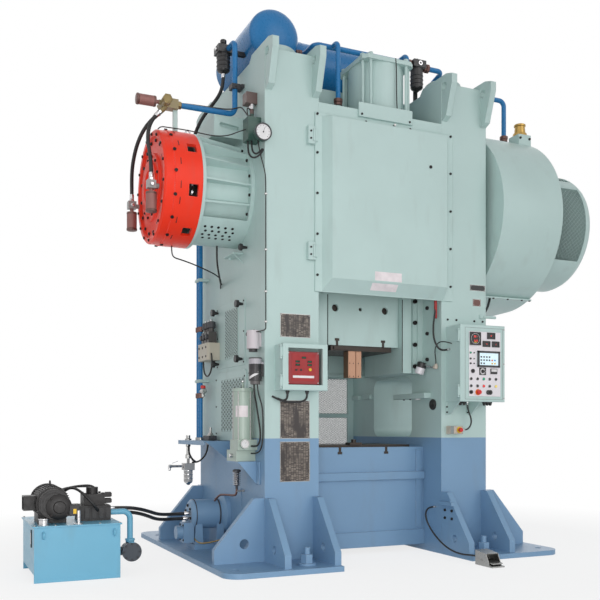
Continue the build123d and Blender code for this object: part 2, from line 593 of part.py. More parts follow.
def control_panel():
    back = PAN_F + PAN_LID
    body = box(PAN_X0, PAN_X1 - 4, back, -COL_Y, PAN_Z0, PAN_Z1)
    body -= box(PAN_X0 + 6, PAN_X1 - 10, back - 1, -COL_Y - 20, PAN_Z0 + 6, PAN_Z1 - 6)
    for x0 in (PAN_X0 + 15, PAN_X1 - 250):
        body += prism_x([(-COL_Y, PAN_Z0), (back + 20, PAN_Z0), (back + 20, PAN_Z0 - 14),
                         (-COL_Y - 40, PAN_Z0 - 120), (-COL_Y, PAN_Z0 - 120)], x0, x0 + 10)
        body += box(x0 - 20, x0 + 60, -COL_Y - 8, -COL_Y, PAN_Z0 - 118, PAN_Z0)
    body = hinged_box(body, PAN_X0, PAN_F, back, PAN_HINGES)
    save("panel_box", body)
    door = lid(PAN_X0 - 6, PAN_X1, PAN_Z0 - 4, PAN_Z1 + 4, PAN_F, back - 1)
    door += box(PAN_X0 + 85, PAN_X1 - 55, PAN_F - 4, PAN_F, PAN_Z0 + 45, PAN_Z1 - 60)
    door += box(PAN_X0 + 175, PAN_X1 - 70, PAN_F - 12, PAN_F - 4, 1765, 1915)
    door += box(PAN_X0 + 95, PAN_X0 + 210, PAN_F - 10, PAN_F - 4, 1970, 2085)
    door = hinged_lid(door, PAN_X0, PAN_F, PAN_HINGES)
    door -= rod((ESTOP_X, PAN_F - 5, ESTOP_Z), (ESTOP_X, PAN_F + 10, ESTOP_Z), STEM_R + GAP)
    save("panel_door", door)
    save("panel_estop", stop_head(ESTOP_X, PAN_F - 4, ESTOP_Z))


def stop_station():
    x0, x1, z0, z1 = STATION
    case = box(x0, x1, -COL_Y - 72, -COL_Y, z0, z1)
    case = fillet(case.faces().sort_by(Axis.Y)[0].edges(), 6)
    cx, cz = x1 - 45, (z0 + z1) / 2
    case += rod((cx, -COL_Y - 72, cz), (cx, -COL_Y - 76, cz), 30)
    case -= rod((cx, -COL_Y - 77, cz), (cx, -COL_Y - 62, cz), STEM_R + GAP)
    save("stop_station", case)
    save("station_button", stop_head(cx, -COL_Y - 76, cz))


def monitor():
    back = MON_F + MON_LID
    body = box(MON_X0, MON_X1, back, -COL_Y, MON_Z0, MON_Z1)
    body -= box(MON_X0 + 6, MON_X1 - 6, back - 1, -COL_Y - 20, MON_Z0 + 6, MON_Z1 - 6)
    heights = (MON_Z0 + 70, MON_Z1 - 70)
    save("monitor_box", hinged_box(body, MON_X0, MON_F, back, heights))
    door = lid(MON_X0 - 6, MON_X1 + 4, MON_Z0 - 4, MON_Z1 + 4, MON_F, back - 1)
    door -= box(MON_X0 + 45, MON_X1 - 45, MON_F - 1, back, MON_Z0 + 45, MON_Z1 - 35)
    save("monitor_door", hinged_lid(door, MON_X0, MON_F, heights))
    unit = box(MON_X0 + 50, MON_X1 - 60, back + 8, -COL_Y - 20, MON_Z0 + 50, MON_Z1 - 62)
    save("monitor_unit", fillet(unit.faces().sort_by(Axis.Y)[0].edges(), 6))


def foot_pedal():
    x0, x1, y0, y1 = PEDAL_X - 65, PEDAL_X + 65, PEDAL_Y - 120, PEDAL_Y + 120
    body = box(x0, x1, y0, y1, 0, 12)
    for x in (x0, x1 - 6):
        body += prism_x([(y0 + 40, 12), (y1, 12), (y1, 130), (y0 + 90, 110)], x, x + 6)
    body += prism_x([(y1 - 6, 12), (y1, 12), (y1, 130), (y0 + 90, 110), (y0 + 93, 103), (y1 - 6, 123)], x0, x1)
    body += box(x0 + 6, x1 - 6, y1 - 70, y1 - 6, 12, 40)
    pin_y, pin_z = y1 - 90, 50
    body -= rod((x0 - 1, pin_y, pin_z), (x1 + 1, pin_y, pin_z), 5 + GAP)
    save("pedal_base", body)
    treadle = prism_x([(y0 + 10, 28), (pin_y, 46), (pin_y, 54), (y0 + 10, 36)], x0 + 12, x1 - 12)
    treadle += rod((x0 + 1, pin_y, pin_z), (x1 - 1, pin_y, pin_z), 5)
    save("pedal", treadle)


# Lower knockout drive and hydraulic power unit

def knockout_drive():
    y, z = KNOCK_Y, KNOCK_Z
    unit = turn_x([(-COL_OUT, 0), (-COL_OUT, 185), (-1200, 185), (-1225, KNOCK_R), (-1500, KNOCK_R),
                   (-1528, KNOCK_R - 28), (-1528, 0)], y, z)
    for x0 in (-1500, -1290):
        unit += prism_y([(x0, 45), (x0 + 90, 45), (x0 + 72, z), (x0 + 18, z)], y - 110, y + 110)
    unit += box(-1510, -1200, y - 140, y + 140, BASE_T, 95)
    unit += box(-1600, -1500, y - 90, y + 40, 110, 300)
    unit += rod((-1660, y - 25, 205), (-1600, y - 25, 205), 62)
    save("knockout_drive", unit)


def power_unit():
    tank = box(HPU_X0, HPU_X1, HPU_Y0, HPU_Y1, 0, HPU_H - 12)
    tank -= box(HPU_X0 - 1, HPU_X1 + 1, HPU_Y0 + 14, HPU_Y1 - 14, -1, 62)
    tank += box(HPU_X0 - 12, HPU_X1 + 12, HPU_Y0 - 10, HPU_Y1 + 10, HPU_H - 12, HPU_H)
    tank += rod((HPU_X0 + 80, HPU_Y0 + 70, HPU_H), (HPU_X0 + 80, HPU_Y0 + 70, HPU_H + 42), 34)
    tank += rod((HPU_X0 + 345, HPU_Y0 + 60, HPU_H), (HPU_X0 + 345, HPU_Y0 + 60, HPU_H + 105), 13)
    save("hpu_tank", tank)
    x, y0, y1, z = -2900, -760, -440, 596
    motor = rod((x, y0, z), (x, y1, z), 128)
    motor = Part() + motor + rod((x, y0 - 62, z), (x, y0, z), 116)
    motor += rod((x, y1, z), (x, y1 + 22, z), 140)
    motor += box(x - 215, x - 100, -700, -570, z - 55, z + 60)
    motor += box(x - 110, x + 110, -720, -480, HPU_H, z - 60)
    motor += rod((x, y1 + 20, z), (x, -260, z), 62)
    stack = box(-2680, -2430, -680, -430, HPU_H, 560)
    stack += box(-2640, -2470, -640, -470, 560, 650)
    for z0 in (575, 625):
        stack += box(-2470, -2405, -600, -540, z0, z0 + 30)
    stack += rod((-2560, -560, 650), (-2560, -560, 705), 48)
    save("hpu_pump", motor, stack)
    pipe = tube([(-2430, -640, 500), (-2262, -640, 500), (-2262, -640, 245)], 24, 62)
    pipe += rod((-2262, -640, 245), (-2262, -640, 262), 36)
    pipe += rod((-2262, -560, 170), (-2262, -700, 170), 62)
    pipe += rod((-2262, -700, 170), (-2262, -722, 170), 80)
    pipe += rod((-2262, -640, 170), (-2262, -640, 250), 34)
    pipe += rod((HPU_X1, -630, 170), (-2262, -630, 170), 36)
    save("hpu_filter", pipe)


# Cords: free hoses and cables, straight runs joined by tangent arcs

CORDS = {
    "brake_hose_a": (17, [(-1933, -376, 3982), (-1984, -376, 3931), (-2040, -400, 3835), (-2067, -450, 3705),
                          (-2069, -528, 3560), (-2067, -580, 3440), (-2067, -580, 3302)]),
    "brake_hose_b": (17, [(-1933, -332, 3982), (-1998, -332, 3917), (-2062, -285, 3830), (-2095, -195, 3735),
                          (-2100, -85, 3650), (-2092, 25, 3575), (-2078, 105, 3500), (-2067, 150, 3410),
                          (-2067, 150, 3302)]),
    "tank_hose": (17, [(-1262, -120, 4560), (-1262, -120, 4445), (-1278, -69, 4352), (-1322, 50, 4279),
                       (-1367, 172, 4211), (-1393, 294, 4132), (-1410, 345, 4039), (-1410, 345, 3933),
                       (-1358, 345, 3842), (-1267, 345, 3790), (-1160, 345, 3790)]),
    "hpu_hose_a": (16, [(-2430, -520, 520), (-2260, -520, 520), (-2120, -400, 490), (-2000, -255, 450),
                        (-1900, -115, 412), (-1798, 5, 390), (-1680, 60, 385), (-1528, 60, 385)]),
    "hpu_hose_b": (16, [(-2430, -480, 480), (-2260, -480, 480), (-2120, -360, 450), (-2000, -215, 405),
                        (-1900, -75, 362), (-1798, 45, 340), (-1680, 100, 335), (-1528, 100, 335)]),
    "pedal_cable": (8, [(645, -820, 440), (575, -820, 440), (520, -840, 411), (490, -879, 355),
                        (492, -925, 280), (508, -1030, 180), (535, -1165, 95), (575, -1310, 55),
                        (640, -1440, 60), (640, -1540, 60)]),
    "estop_cable": (7, [(890, -985, 1444), (890, -985, 1390), (910, -985, 1338), (936, -983, 1288),
                        (940, -979, 1236), (918, -974, 1194), (884, -972, 1176), (842, -972, 1176)]),
    "lube_hose": (9, [(600, -882, 2440), (600, -882, 2330), (575, -895, 2240), (545, -925, 2150),
                      (530, -950, 2082), (532, -968, 2019), (562, -978, 1968), (610, -978, 1940),
                      (697, -978, 1940)]),
}


def cords():
    for name, (r, points) in CORDS.items():
        path_points = [Vector(*p) for p in points]
        radii = [bend_radius(*path_points[i:i + 3], 1e9) for i in range(len(path_points) - 2)]
        path = FilletPolyline(*path_points, radius=radii)
        made = sweep(Plane(origin=path @ 0, z_dir=path % 0) * Circle(r), path=path)
        expected = pi * r * r * path.length
        print(name, "length", round(path.length), "radii", [round(v) for v in radii],
              "volume ratio", round(made.volume / expected, 3))
        save(name, made)


def door():
    flange = box(-686, 765, -925, -COL_Y - GAP, 2400, 3985)
    flange -= box(-575, 615, -926, -COL_Y, 2470, 3880)
    y0, y1 = -925, -1007

    def pan(inset, depth):
        outer = Plane.XZ.offset(-y0) * Pos(20, 3180) * Rectangle(1278 - 2 * inset, 1546 - 2 * inset)
        inner_at = Plane.XZ.offset(-y1 - depth) * Pos(46, 3228)
        return loft([outer, inner_at * Rectangle(1206 - 2 * inset, 1424 - 2 * inset)], ruled=True)

    made = flange + (pan(0, 0) - pan(12, 10))
    for z in HINGE_Z:
        barrel, bore = hinge(HINGE_X, HINGE_Y, z, 51, 14)[1:]
        made += barrel + box(HINGE_X, -670, HINGE_Y - 4, -925, z - 51, z + 51)
        made -= bore
    save("front_door", made)


columns()
crown()
bed()
fastened_frame()
main_bearings()
eccentric_shaft()
slide()
slide_gibs()
flywheel()
flywheel_guard()
clutch_guard()
main_motor()
brake()
brake_air()
air_tank()
balance_cylinder()
air_pipes()
air_filters()
pressure_gauge()
valve_manifold()
lubricator()
grease_unit()
shelf_brackets()
side_panels()
control_panel()
stop_station()
monitor()
foot_pedal()
knockout_drive()
power_unit()
door()
cords()
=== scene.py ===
from itertools import product
from math import cos, pi, radians, sin

import bmesh
import bpy
from mathutils import Matrix, Vector

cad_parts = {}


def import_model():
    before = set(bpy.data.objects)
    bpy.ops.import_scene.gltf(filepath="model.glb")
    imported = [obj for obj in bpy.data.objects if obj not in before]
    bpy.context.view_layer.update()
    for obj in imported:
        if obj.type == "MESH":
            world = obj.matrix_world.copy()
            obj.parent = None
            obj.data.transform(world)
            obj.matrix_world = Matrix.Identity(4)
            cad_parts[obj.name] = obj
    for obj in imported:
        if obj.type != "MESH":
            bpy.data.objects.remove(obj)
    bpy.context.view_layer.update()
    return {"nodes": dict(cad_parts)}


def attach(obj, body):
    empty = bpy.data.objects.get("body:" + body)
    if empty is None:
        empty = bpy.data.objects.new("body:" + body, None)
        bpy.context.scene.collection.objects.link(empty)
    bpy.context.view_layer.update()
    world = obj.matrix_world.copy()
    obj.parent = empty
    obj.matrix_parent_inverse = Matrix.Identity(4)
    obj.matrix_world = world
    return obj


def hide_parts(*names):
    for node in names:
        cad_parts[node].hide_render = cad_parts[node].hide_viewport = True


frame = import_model()

# Places and sizes shared by several pieces, in metres; the places are those of the solids
PAINT_LINE = 1.103                     # light green above, blue below
COL_OUT, COL_IN, COL_F = 1.160, 0.645, -0.912
SHAFT_Y, SHAFT_Z = -0.222, 3.345
DOOR_FLANGE_F, DOOR_F = -0.925, -1.007
DECK, TANK_FOOT = 3.960, 4.495         # top of the crown, top of the rear tank's stand
SLIDE_BOTTOM, BED_TOP = 1.979, 1.012
SLOT_X = (-0.270, 0.230)               # T-slots of slide and bed
VALVE_Z, BRAKE_VALVE_Y = 4.070, (-0.580, 0.150)
RISER_X, RISER_Y = -1.245, (0.645, 0.715)
LABEL = 0.0012                         # thickness of plates and labels
PANEL_F = -1.159                       # instrument plate on the panel door
SHEET_F = PANEL_F - LABEL              # brushed sheet on that plate
SHARP = radians(35)                    # edges that turn more than this are not smoothed

X, Y, Z = Vector((1, 0, 0)), Vector((0, 1, 0)), Vector((0, 0, 1))


# Materials

class Graph:
    """A material's node tree with short calls for nodes and links."""

    def __init__(self, name):
        self.material = bpy.data.materials.new(name)
        self.material.use_nodes = True
        self.tree = self.material.node_tree
        self.shader = self.tree.nodes["Principled BSDF"]
        self.coords = self.node("ShaderNodeTexCoord").outputs["Object"]

    def node(self, kind, **settings):
        made = self.tree.nodes.new(kind)
        for key, value in settings.items():
            setattr(made, key, value)
        return made

    def link(self, source, target):
        self.tree.links.new(source, target)

    def noise(self, scale, detail=3.0, stretch=None):
        """Noise value in object space; stretch squeezes it along each axis."""
        tex = self.node("ShaderNodeTexNoise")
        tex.inputs["Scale"].default_value = scale
        tex.inputs["Detail"].default_value = detail
        coords = self.coords
        if stretch:
            mapping = self.node("ShaderNodeMapping")
            mapping.inputs["Scale"].default_value = stretch
            self.link(coords, mapping.inputs["Vector"])
            coords = mapping.outputs["Vector"]
        self.link(coords, tex.inputs["Vector"])
        return tex.outputs["Fac"]

    def ramp(self, value, low, high, to_low=0.0, to_high=1.0):
        made = self.node("ShaderNodeMapRange")
        made.inputs["From Min"].default_value = low
        made.inputs["From Max"].default_value = high
        made.inputs["To Min"].default_value = to_low
        made.inputs["To Max"].default_value = to_high
        self.link(value, made.inputs["Value"])
        return made.outputs["Result"]

    def mix(self, fac, a, b):
        """Colour mix; a and b are sockets or RGB tuples."""
        made = self.node("ShaderNodeMix", data_type="RGBA")
        self.link(fac, made.inputs["Factor"])
        for key, value in (("A", a), ("B", b)):
            socket = next(s for s in made.inputs if s.name == key and s.type == "RGBA")
            if isinstance(value, tuple):
                socket.default_value = (*value, 1)
            else:
                self.link(value, socket)
        return next(s for s in made.outputs if s.type == "RGBA")

    def axis(self, letter):
        split = self.node("ShaderNodeSeparateXYZ")
        self.link(self.coords, split.inputs["Vector"])
        return split.outputs[letter]

    def math(self, operation, a, b):
        """Math node; a and b are sockets or numbers."""
        made = self.node("ShaderNodeMath", operation=operation)
        for socket, value in zip(made.inputs, (a, b)):
            if isinstance(value, (int, float)):
                socket.default_value = value
            else:
                self.link(value, socket)
        return made.outputs["Value"]

    def above(self, letter, level):
        return self.math("GREATER_THAN", self.axis(letter), level)

    def edges(self, radius):
        """Normal rounded over the edges, and a value that is 1 on them and 0 on flats."""
        bevel = self.node("ShaderNodeBevel", samples=4)
        bevel.inputs["Radius"].default_value = radius
        dot = self.node("ShaderNodeVectorMath", operation="DOT_PRODUCT")
        self.link(bevel.outputs["Normal"], dot.inputs[0])
        self.link(self.node("ShaderNodeNewGeometry").outputs["Normal"], dot.inputs[1])
        return bevel.outputs["Normal"], self.ramp(dot.outputs["Value"], 0.97, 0.75)

    def bump(self, value, depth, strength=1.0, normal=None):
        made = self.node("ShaderNodeBump")
        made.inputs["Strength"].default_value = strength
        made.inputs["Distance"].default_value = depth
        self.link(value, made.inputs["Height"])
        if normal:
            self.link(normal, made.inputs["Normal"])
        self.link(made.outputs["Normal"], self.shader.inputs["Normal"])

    def set(self, **values):
        for key, value in values.items():
            self.shader.inputs[key.replace("_", " ")].default_value = value


def srgb(r, g, b):
    """Linear colour of an 8-bit screen colour."""
    return tuple((c / 255 / 12.92) if c < 11 else ((c / 255 + 0.055) / 1.055) ** 2.4 for c in (r, g, b))


def shade(colour, factor):
    return tuple(c * factor for c in colour)


GREEN = srgb(186, 209, 205)
BLUE = srgb(122, 157, 189)
TANK_BLUE = srgb(40, 120, 178)
CYAN = srgb(112, 178, 206)
RED = srgb(250, 58, 32)
DUST = srgb(120, 116, 108)
WORN_AND_HIGHLIGHT = srgb(206, 212, 210)           # thin paint along worn edges, and a painted highlight along them


def painted(g, colour, rough=0.42, shine=0.5):
    """Brushed machine enamel: mottling, streaks of dust, edges lightened partly as wear and partly as a
    painted highlight, orange peel.
    """
    g.set(Specular_IOR_Level=shine)
    mottle = g.ramp(g.noise(2.2, 5.0), 0.3, 0.7)
    fine = g.ramp(g.noise(38.0, 4.0), 0.35, 0.75)
    if isinstance(colour, tuple):
        tone = g.mix(mottle, shade(colour, 0.965), shade(colour, 1.025))
    else:
        darker = g.node("ShaderNodeHueSaturation")
        darker.inputs["Value"].default_value = 0.955
        g.link(colour, darker.inputs["Color"])
        tone = g.mix(mottle, darker.outputs["Color"], colour)
    grime = g.ramp(g.noise(6.0, 6.0, (1, 1, 0.25)), 0.56, 0.82, 0.0, 0.16)
    tone = g.mix(grime, tone, DUST)
    rounded, edge = g.edges(0.005)
    # Edges lighter in patches: partly worn paint, partly a painted highlight
    worn_and_highlit = g.math("MULTIPLY", edge, g.ramp(g.noise(7.0, 6.0), 0.42, 0.68, 0.05, 0.5))
    tone = g.mix(worn_and_highlit, tone, WORN_AND_HIGHLIGHT)
    g.link(tone, g.shader.inputs["Base Color"])
    g.link(g.ramp(fine, 0, 1, rough - 0.05, rough + 0.08), g.shader.inputs["Roughness"])
    g.bump(g.noise(240.0, 2.0), 0.0006, 0.35, rounded)


def paint(name, colour, rough=0.42, shine=0.5):
    g = Graph(name)
    painted(g, colour, rough, shine)
    return g.material


def two_tone(name, upper, lower, letter, level, rough=0.42):
    """Paint that changes colour at a level along one axis."""
    g = Graph(name)
    painted(g, g.mix(g.above(letter, level), lower, upper), rough)
    return g.material


def banded(name, bottom, bands, rough=0.4):
    """Finish that changes at levels up Z; bands are (level, colour) going up."""
    g = Graph(name)
    tone = bottom
    for level, colour in bands:
        tone = g.mix(g.above("Z", level), tone, colour)
    painted(g, tone, rough)
    return g.material


def valve_finish(name):
    """Brass block on a green post, with grey valves on the casing face."""
    g = Graph(name)
    block_x, post_x, post_top = -1.990, -1.822, 4.018
    post = g.math("MULTIPLY", g.above("X", post_x), g.math("LESS_THAN", g.axis("Z"), post_top))
    valves = g.mix(g.above("X", block_x), srgb(150, 148, 146), srgb(146, 130, 88))
    painted(g, g.mix(post, valves, GREEN), 0.34)
    return g.material


def metal(name, colour, rough=0.32, grain=(1, 1, 1), metallic=1.0, spots=0.25):
    """Bare metal with machining grain and dull oily spots."""
    g = Graph(name)
    g.set(Metallic=metallic)
    grain_value = g.noise(90.0, 4.0, grain)
    tone = g.mix(g.ramp(grain_value, 0.3, 0.7), shade(colour, 0.86), colour)
    stain = g.ramp(g.noise(9.0, 5.0), 0.5, 0.75, 0.0, spots)
    tone = g.mix(stain, tone, shade(colour, 0.45))
    g.link(tone, g.shader.inputs["Base Color"])
    g.link(g.ramp(grain_value, 0.2, 0.8, rough - 0.08, rough + 0.14), g.shader.inputs["Roughness"])
    g.bump(grain_value, 0.0004, 0.3)
    return g.material


def plastic(name, colour, rough=0.45, grain=420.0):
    """Moulded plastic or rubber with a fine surface grain."""
    g = Graph(name)
    tone = g.mix(g.ramp(g.noise(12.0, 4.0), 0.3, 0.75), shade(colour, 0.85), shade(colour, 1.1))
    g.link(tone, g.shader.inputs["Base Color"])
    g.link(g.ramp(g.noise(30.0, 3.0), 0.3, 0.7, rough - 0.06, rough + 0.1), g.shader.inputs["Roughness"])
    g.bump(g.noise(grain, 2.0), 0.0003, 0.4)
    return g.material


def lit(name, colour, glow=1.0):
    """Display or lamp lens that glows a little."""
    g = Graph(name)
    tone = g.mix(g.ramp(g.noise(60.0, 2.0), 0.35, 0.65), shade(colour, 0.9), colour)
    g.link(tone, g.shader.inputs["Base Color"])
    g.link(tone, g.shader.inputs["Emission Color"])
    g.set(Emission_Strength=glow, Roughness=0.2)
    return g.material


def ruled(name, paper, ink, cell):
    """Dark engraved plate with a plain table of cells and no lettering."""
    g = Graph(name)
    flat = g.node("ShaderNodeCombineXYZ")
    g.link(g.axis("X"), flat.inputs["X"])
    g.link(g.axis("Z"), flat.inputs["Y"])
    table = g.node("ShaderNodeTexBrick", offset=0.0)
    g.link(flat.outputs["Vector"], table.inputs["Vector"])
    sizes = {"Scale": 1.0, "Brick Width": cell * 2.6, "Row Height": cell, "Mortar Size": cell * 0.2,
             "Bias": -0.1}
    for key, value in sizes.items():
        table.inputs[key].default_value = value
    for key, colour in (("Color1", paper), ("Color2", shade(ink, 1.6)), ("Mortar", ink)):
        table.inputs[key].default_value = (*colour, 1)
    shown = g.ramp(g.noise(16.0, 2.0, (1, 1, 0.35)), 0.40, 0.52)
    g.link(g.mix(shown, ink, table.outputs["Color"]), g.shader.inputs["Base Color"])
    g.link(g.ramp(g.noise(40.0, 3.0), 0.3, 0.7, 0.3, 0.45), g.shader.inputs["Roughness"])
    return g.material


green = paint("paint_green", GREEN)
frame_paint = two_tone("paint_frame", GREEN, BLUE, "Z", PAINT_LINE)
blue = paint("paint_blue", BLUE)
tank_paint = paint("paint_tank", TANK_BLUE, 0.30, 0.3)
cyan = paint("paint_cyan", CYAN, 0.36)
red = paint("paint_red", RED, 0.36, 0.25)
grease_green = paint("paint_grease", srgb(172, 188, 176), 0.34)
steel = metal("steel", srgb(168, 168, 166), 0.3)
polished = metal("polished_steel", srgb(205, 204, 205), 0.2, spots=0.1)
dark_steel = metal("dark_steel", srgb(62, 56, 52), 0.42, metallic=0.7)
cast_iron = metal("cast_iron", srgb(92, 94, 95), 0.55, metallic=0.6)
bronze = metal("bronze", srgb(172, 132, 108), 0.38, (1, 1, 0.15), metallic=0.6)
brass = metal("brass", srgb(178, 146, 84), 0.3, metallic=0.9)
dull_brass = metal("dull_brass", srgb(142, 124, 82), 0.4, metallic=0.5)
union_brown = metal("union_brown", srgb(112, 82, 76), 0.42, metallic=0.5)
rose = metal("silencer_rose", srgb(150, 102, 96), 0.5, metallic=0.2)
rubber = plastic("rubber", srgb(30, 29, 30), 0.55)
black = plastic("black_plastic", srgb(34, 33, 34), 0.4)
charcoal = plastic("charcoal", srgb(58, 58, 62), 0.5)
motor_black = plastic("motor_black", srgb(28, 25, 25), 0.5)
bolt_black = metal("bolt_black", srgb(40, 36, 36), 0.45, metallic=0.5)
signal_red = plastic("signal_red", srgb(206, 30, 24), 0.3)
sleeve_red = plastic("sleeve_red", srgb(158, 30, 32), 0.45)
monitor_red = paint("monitor_red", srgb(150, 36, 42), 0.4)
silver_plate = metal("silver_plate", srgb(236, 231, 235), 0.42, (1, 1, 40), metallic=0.1, spots=0.05)
white_face = plastic("white_face", srgb(232, 230, 230), 0.4)
blank_label = plastic("blank_label", srgb(236, 226, 228), 0.5)
yellow = plastic("yellow", srgb(232, 188, 40), 0.4)
orange = plastic("orange", srgb(228, 110, 30), 0.35)
cream = plastic("cream", srgb(200, 188, 174), 0.5)
lens_green = lit("lens_green", srgb(20, 150, 110), 0.15)
lens_red = lit("lens_red", srgb(220, 40, 34), 0.3)
lens_yellow = lit("lens_yellow", srgb(240, 214, 110), 0.2)
digits_red = lit("digits_red", srgb(255, 60, 50), 1.0)
screen_blue = lit("screen_blue", srgb(214, 236, 244), 0.35)
tile_blue = lit("tile_blue", srgb(70, 140, 200), 0.2)
sheet_grey = paint("sheet_grey", srgb(136, 143, 142), 0.5)
# Dark green for the sheet behind the perforated side covers: painted shade seen through the holes
painted_shade_green = paint("painted_shade_green", srgb(84, 96, 93), 0.7)
# Near black: painted shade in gaps, slits and holes, and the dark glass of the monitor windows
shade_and_glass_black = plastic("shade_and_glass_black", srgb(16, 16, 17), 0.8)
chart = ruled("chart_plate", srgb(150, 138, 126), srgb(42, 34, 32), 0.009)

CAD_MATERIALS = {
    frame_paint: "left_column right_column bed tie_rods",
    green: "crown crown_front front_door slide_gibs slide flywheel_guard clutch_guard side_panels "
           "brake_housing balance_cylinder monitor_box monitor_door panel_box panel_door",
    blue: "left_base right_base anchor_bolts shelf_brackets knockout_drive",
    tank_paint: "air_tank air_pipes",
    cyan: "hpu_tank",
    red: "brake_casing",
    polished: "eccentric_shaft balance_rod",
    dark_steel: "bolster die_holder",
    cast_iron: "flywheel motor_pulley main_motor",
    bronze: "tool_block main_bearings",
    valve_finish("valve_tones"): "brake_valves",
    rose: "silencers",
    black: "cover_knobs",
    banded("air_filter_tones", srgb(186, 184, 182), [(1.2, srgb(38, 37, 38))]): "air_filters",
    motor_black: "hpu_pump",
    monitor_red: "monitor_unit",
    signal_red: "panel_estop station_button",
    cream: "stop_station",
    steel: "pedal_base pedal",
    banded("lubricator_tones", srgb(96, 92, 92), [
        (1.600, srgb(44, 42, 44)), (1.700, srgb(30, 28, 32)), (1.745, srgb(176, 172, 178)),
        (1.790, srgb(44, 42, 44)), (1.880, srgb(206, 198, 202))]): "lubricator",
    grease_green: "grease_unit",
    two_tone("manifold_tones", srgb(70, 66, 64), srgb(190, 182, 166), "Z", 2.039): "valve_manifold",
    two_tone("switch_tones", srgb(104, 84, 80), srgb(52, 84, 74), "Z", 3.95): "pressure_gauge",
    two_tone("filter_tones", CYAN, srgb(52, 60, 70), "Z", 0.245): "hpu_filter",
}
for material, names in CAD_MATERIALS.items():
    for name in names.split():
        for slot in frame["nodes"][name].material_slots:
            slot.material = material


# Mesh helpers

def turn_to(axis):
    """Rotation that takes +Z to the axis."""
    return Z.rotation_difference(Vector(axis)).to_matrix().to_4x4()


def add_box(bm, lo, hi):
    lo, hi = Vector(lo), Vector(hi)
    size = Matrix.Diagonal((*(hi - lo), 1))
    bmesh.ops.create_cube(bm, size=1, matrix=Matrix.Translation((lo + hi) / 2) @ size)


def add_slab(bm, corner, a, b, c):
    """Slanted block from a corner along three edges."""
    place = Matrix((a, b, c)).transposed().to_4x4()
    place.translation = Vector(corner) + (Vector(a) + Vector(b) + Vector(c)) / 2
    bmesh.ops.create_cube(bm, size=1, matrix=place)


def add_circles(bm, origin, axis, profile, segments):
    """Rings of points round an axis, and the faces between neighbours."""
    place = Matrix.Translation(origin) @ turn_to(axis)
    turns = [2 * pi * k / segments for k in range(segments)]
    rings = []
    for along, r in profile:
        rings.append([bm.verts.new(place @ Vector((r * cos(t), r * sin(t), along))) for t in turns])
    for one, two in zip(rings, rings[1:]):
        for k in range(segments):
            bm.faces.new((one[k], one[k - 1], two[k - 1], two[k]))
    return rings


def add_lathe(bm, origin, axis, profile, segments=24):
    """Closed turned form: profile is (distance along the axis, radius) from end to end."""
    rings = add_circles(bm, origin, axis, profile, segments)
    bm.faces.new(rings[0])
    bm.faces.new(reversed(rings[-1]))


def add_ring(bm, origin, axis, inner, outer, h, segments=24):
    """Flat ring that stands h off a face."""
    rings = add_circles(bm, origin, axis, [(0, inner), (0, outer), (h, outer), (h, inner)], segments)
    for k in range(segments):
        bm.faces.new((rings[3][k], rings[3][k - 1], rings[0][k - 1], rings[0][k]))


def add_bolt(bm, origin, axis, r, h, segments=12):
    """Socket-head screw: chamfered head with a sunk socket."""
    profile = [(0, r), (h * 0.85, r), (h, r * 0.88), (h, r * 0.55), (h * 0.55, r * 0.5)]
    add_lathe(bm, origin, axis, profile, segments)


def add_hex(bm, origin, axis, r, h):
    add_lathe(bm, origin, axis, [(0, r), (h * 0.85, r), (h, r * 0.86)], 6)


def capped(r, h, tip, chamfer=0.004):
    """Profile of a plain round boss of height h that narrows to the tip radius at its end."""
    return [(0, r), (h - chamfer, r), (h, tip)]


def grid(xs, ys, zs):
    """Every place with these x, y and z values; each is a number or a tuple of them."""
    return list(product(*(v if isinstance(v, tuple) else (v,) for v in (xs, ys, zs))))


def circle(centre, r, degrees, u, v):
    """Places round a centre, at angles from u towards v."""
    return [Vector(centre) + (u * cos(radians(a)) + v * sin(radians(a))) * r for a in degrees]


def rim(x0, x1, z0, z1, t, front, back):
    """Corners of four strips inside the edges of a rectangle that faces forward."""
    strips = ((x0, z0, x1, z0 + t), (x0, z1 - t, x1, z1), (x0, z0, x0 + t, z1), (x1 - t, z0, x1, z1))
    return [((a, front, b), (c, back, d)) for a, b, c, d in strips]


def spoke(turn):
    """Outward and sideways directions at an angle in a plane that faces forward."""
    return Vector((cos(turn), 0, sin(turn))), Vector((-sin(turn), 0, cos(turn)))


def placed(name, data, material, body):
    """Object with one material that rides on a body and takes a slot's finish."""
    data.materials.append(material)
    obj = bpy.data.objects.new(name, data)
    bpy.context.scene.collection.objects.link(obj)
    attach(obj, body)
    return obj


def piece(name, bm, material, body="frame", bevel=0.0):
    """Turns a bmesh into an object that rides on a body."""
    mesh = bpy.data.meshes.new(name)
    bmesh.ops.recalc_face_normals(bm, faces=bm.faces)
    bm.to_mesh(mesh)
    bm.free()
    mesh.shade_smooth()
    mesh.set_sharp_from_angle(angle=SHARP)
    obj = placed(name, mesh, material, body)
    if bevel:
        mod = obj.modifiers.new("edges", "BEVEL")
        mod.width = bevel
        mod.segments = 2
        mod.limit_method = "ANGLE"
    return obj


def boxes(name, corners, material, body="frame", bevel=0.002):
    bm = bmesh.new()
    for lo, hi in corners:
        add_box(bm, lo, hi)
    return piece(name, bm, material, body, bevel)


def lathes(name, forms, material, body="frame", segments=24):
    """Turned forms in one piece; forms are (origin, axis, profile)."""
    bm = bmesh.new()
    for origin, axis, profile in forms:
        add_lathe(bm, origin, axis, profile, segments)
    return piece(name, bm, material, body)


def lathe(name, origin, axis, profile, material, body="frame", segments=24):
    return lathes(name, [(origin, axis, profile)], material, body, segments)


def bolts(name, places, axis, r=0.011, h=0.012, material=bolt_black, body="frame"):
    """Socket screws; axis is one direction, or a function of the place."""
    bm = bmesh.new()
    for place in places:
        add_bolt(bm, place, axis(place) if callable(axis) else axis, r, h)
    return piece(name, bm, material, body)


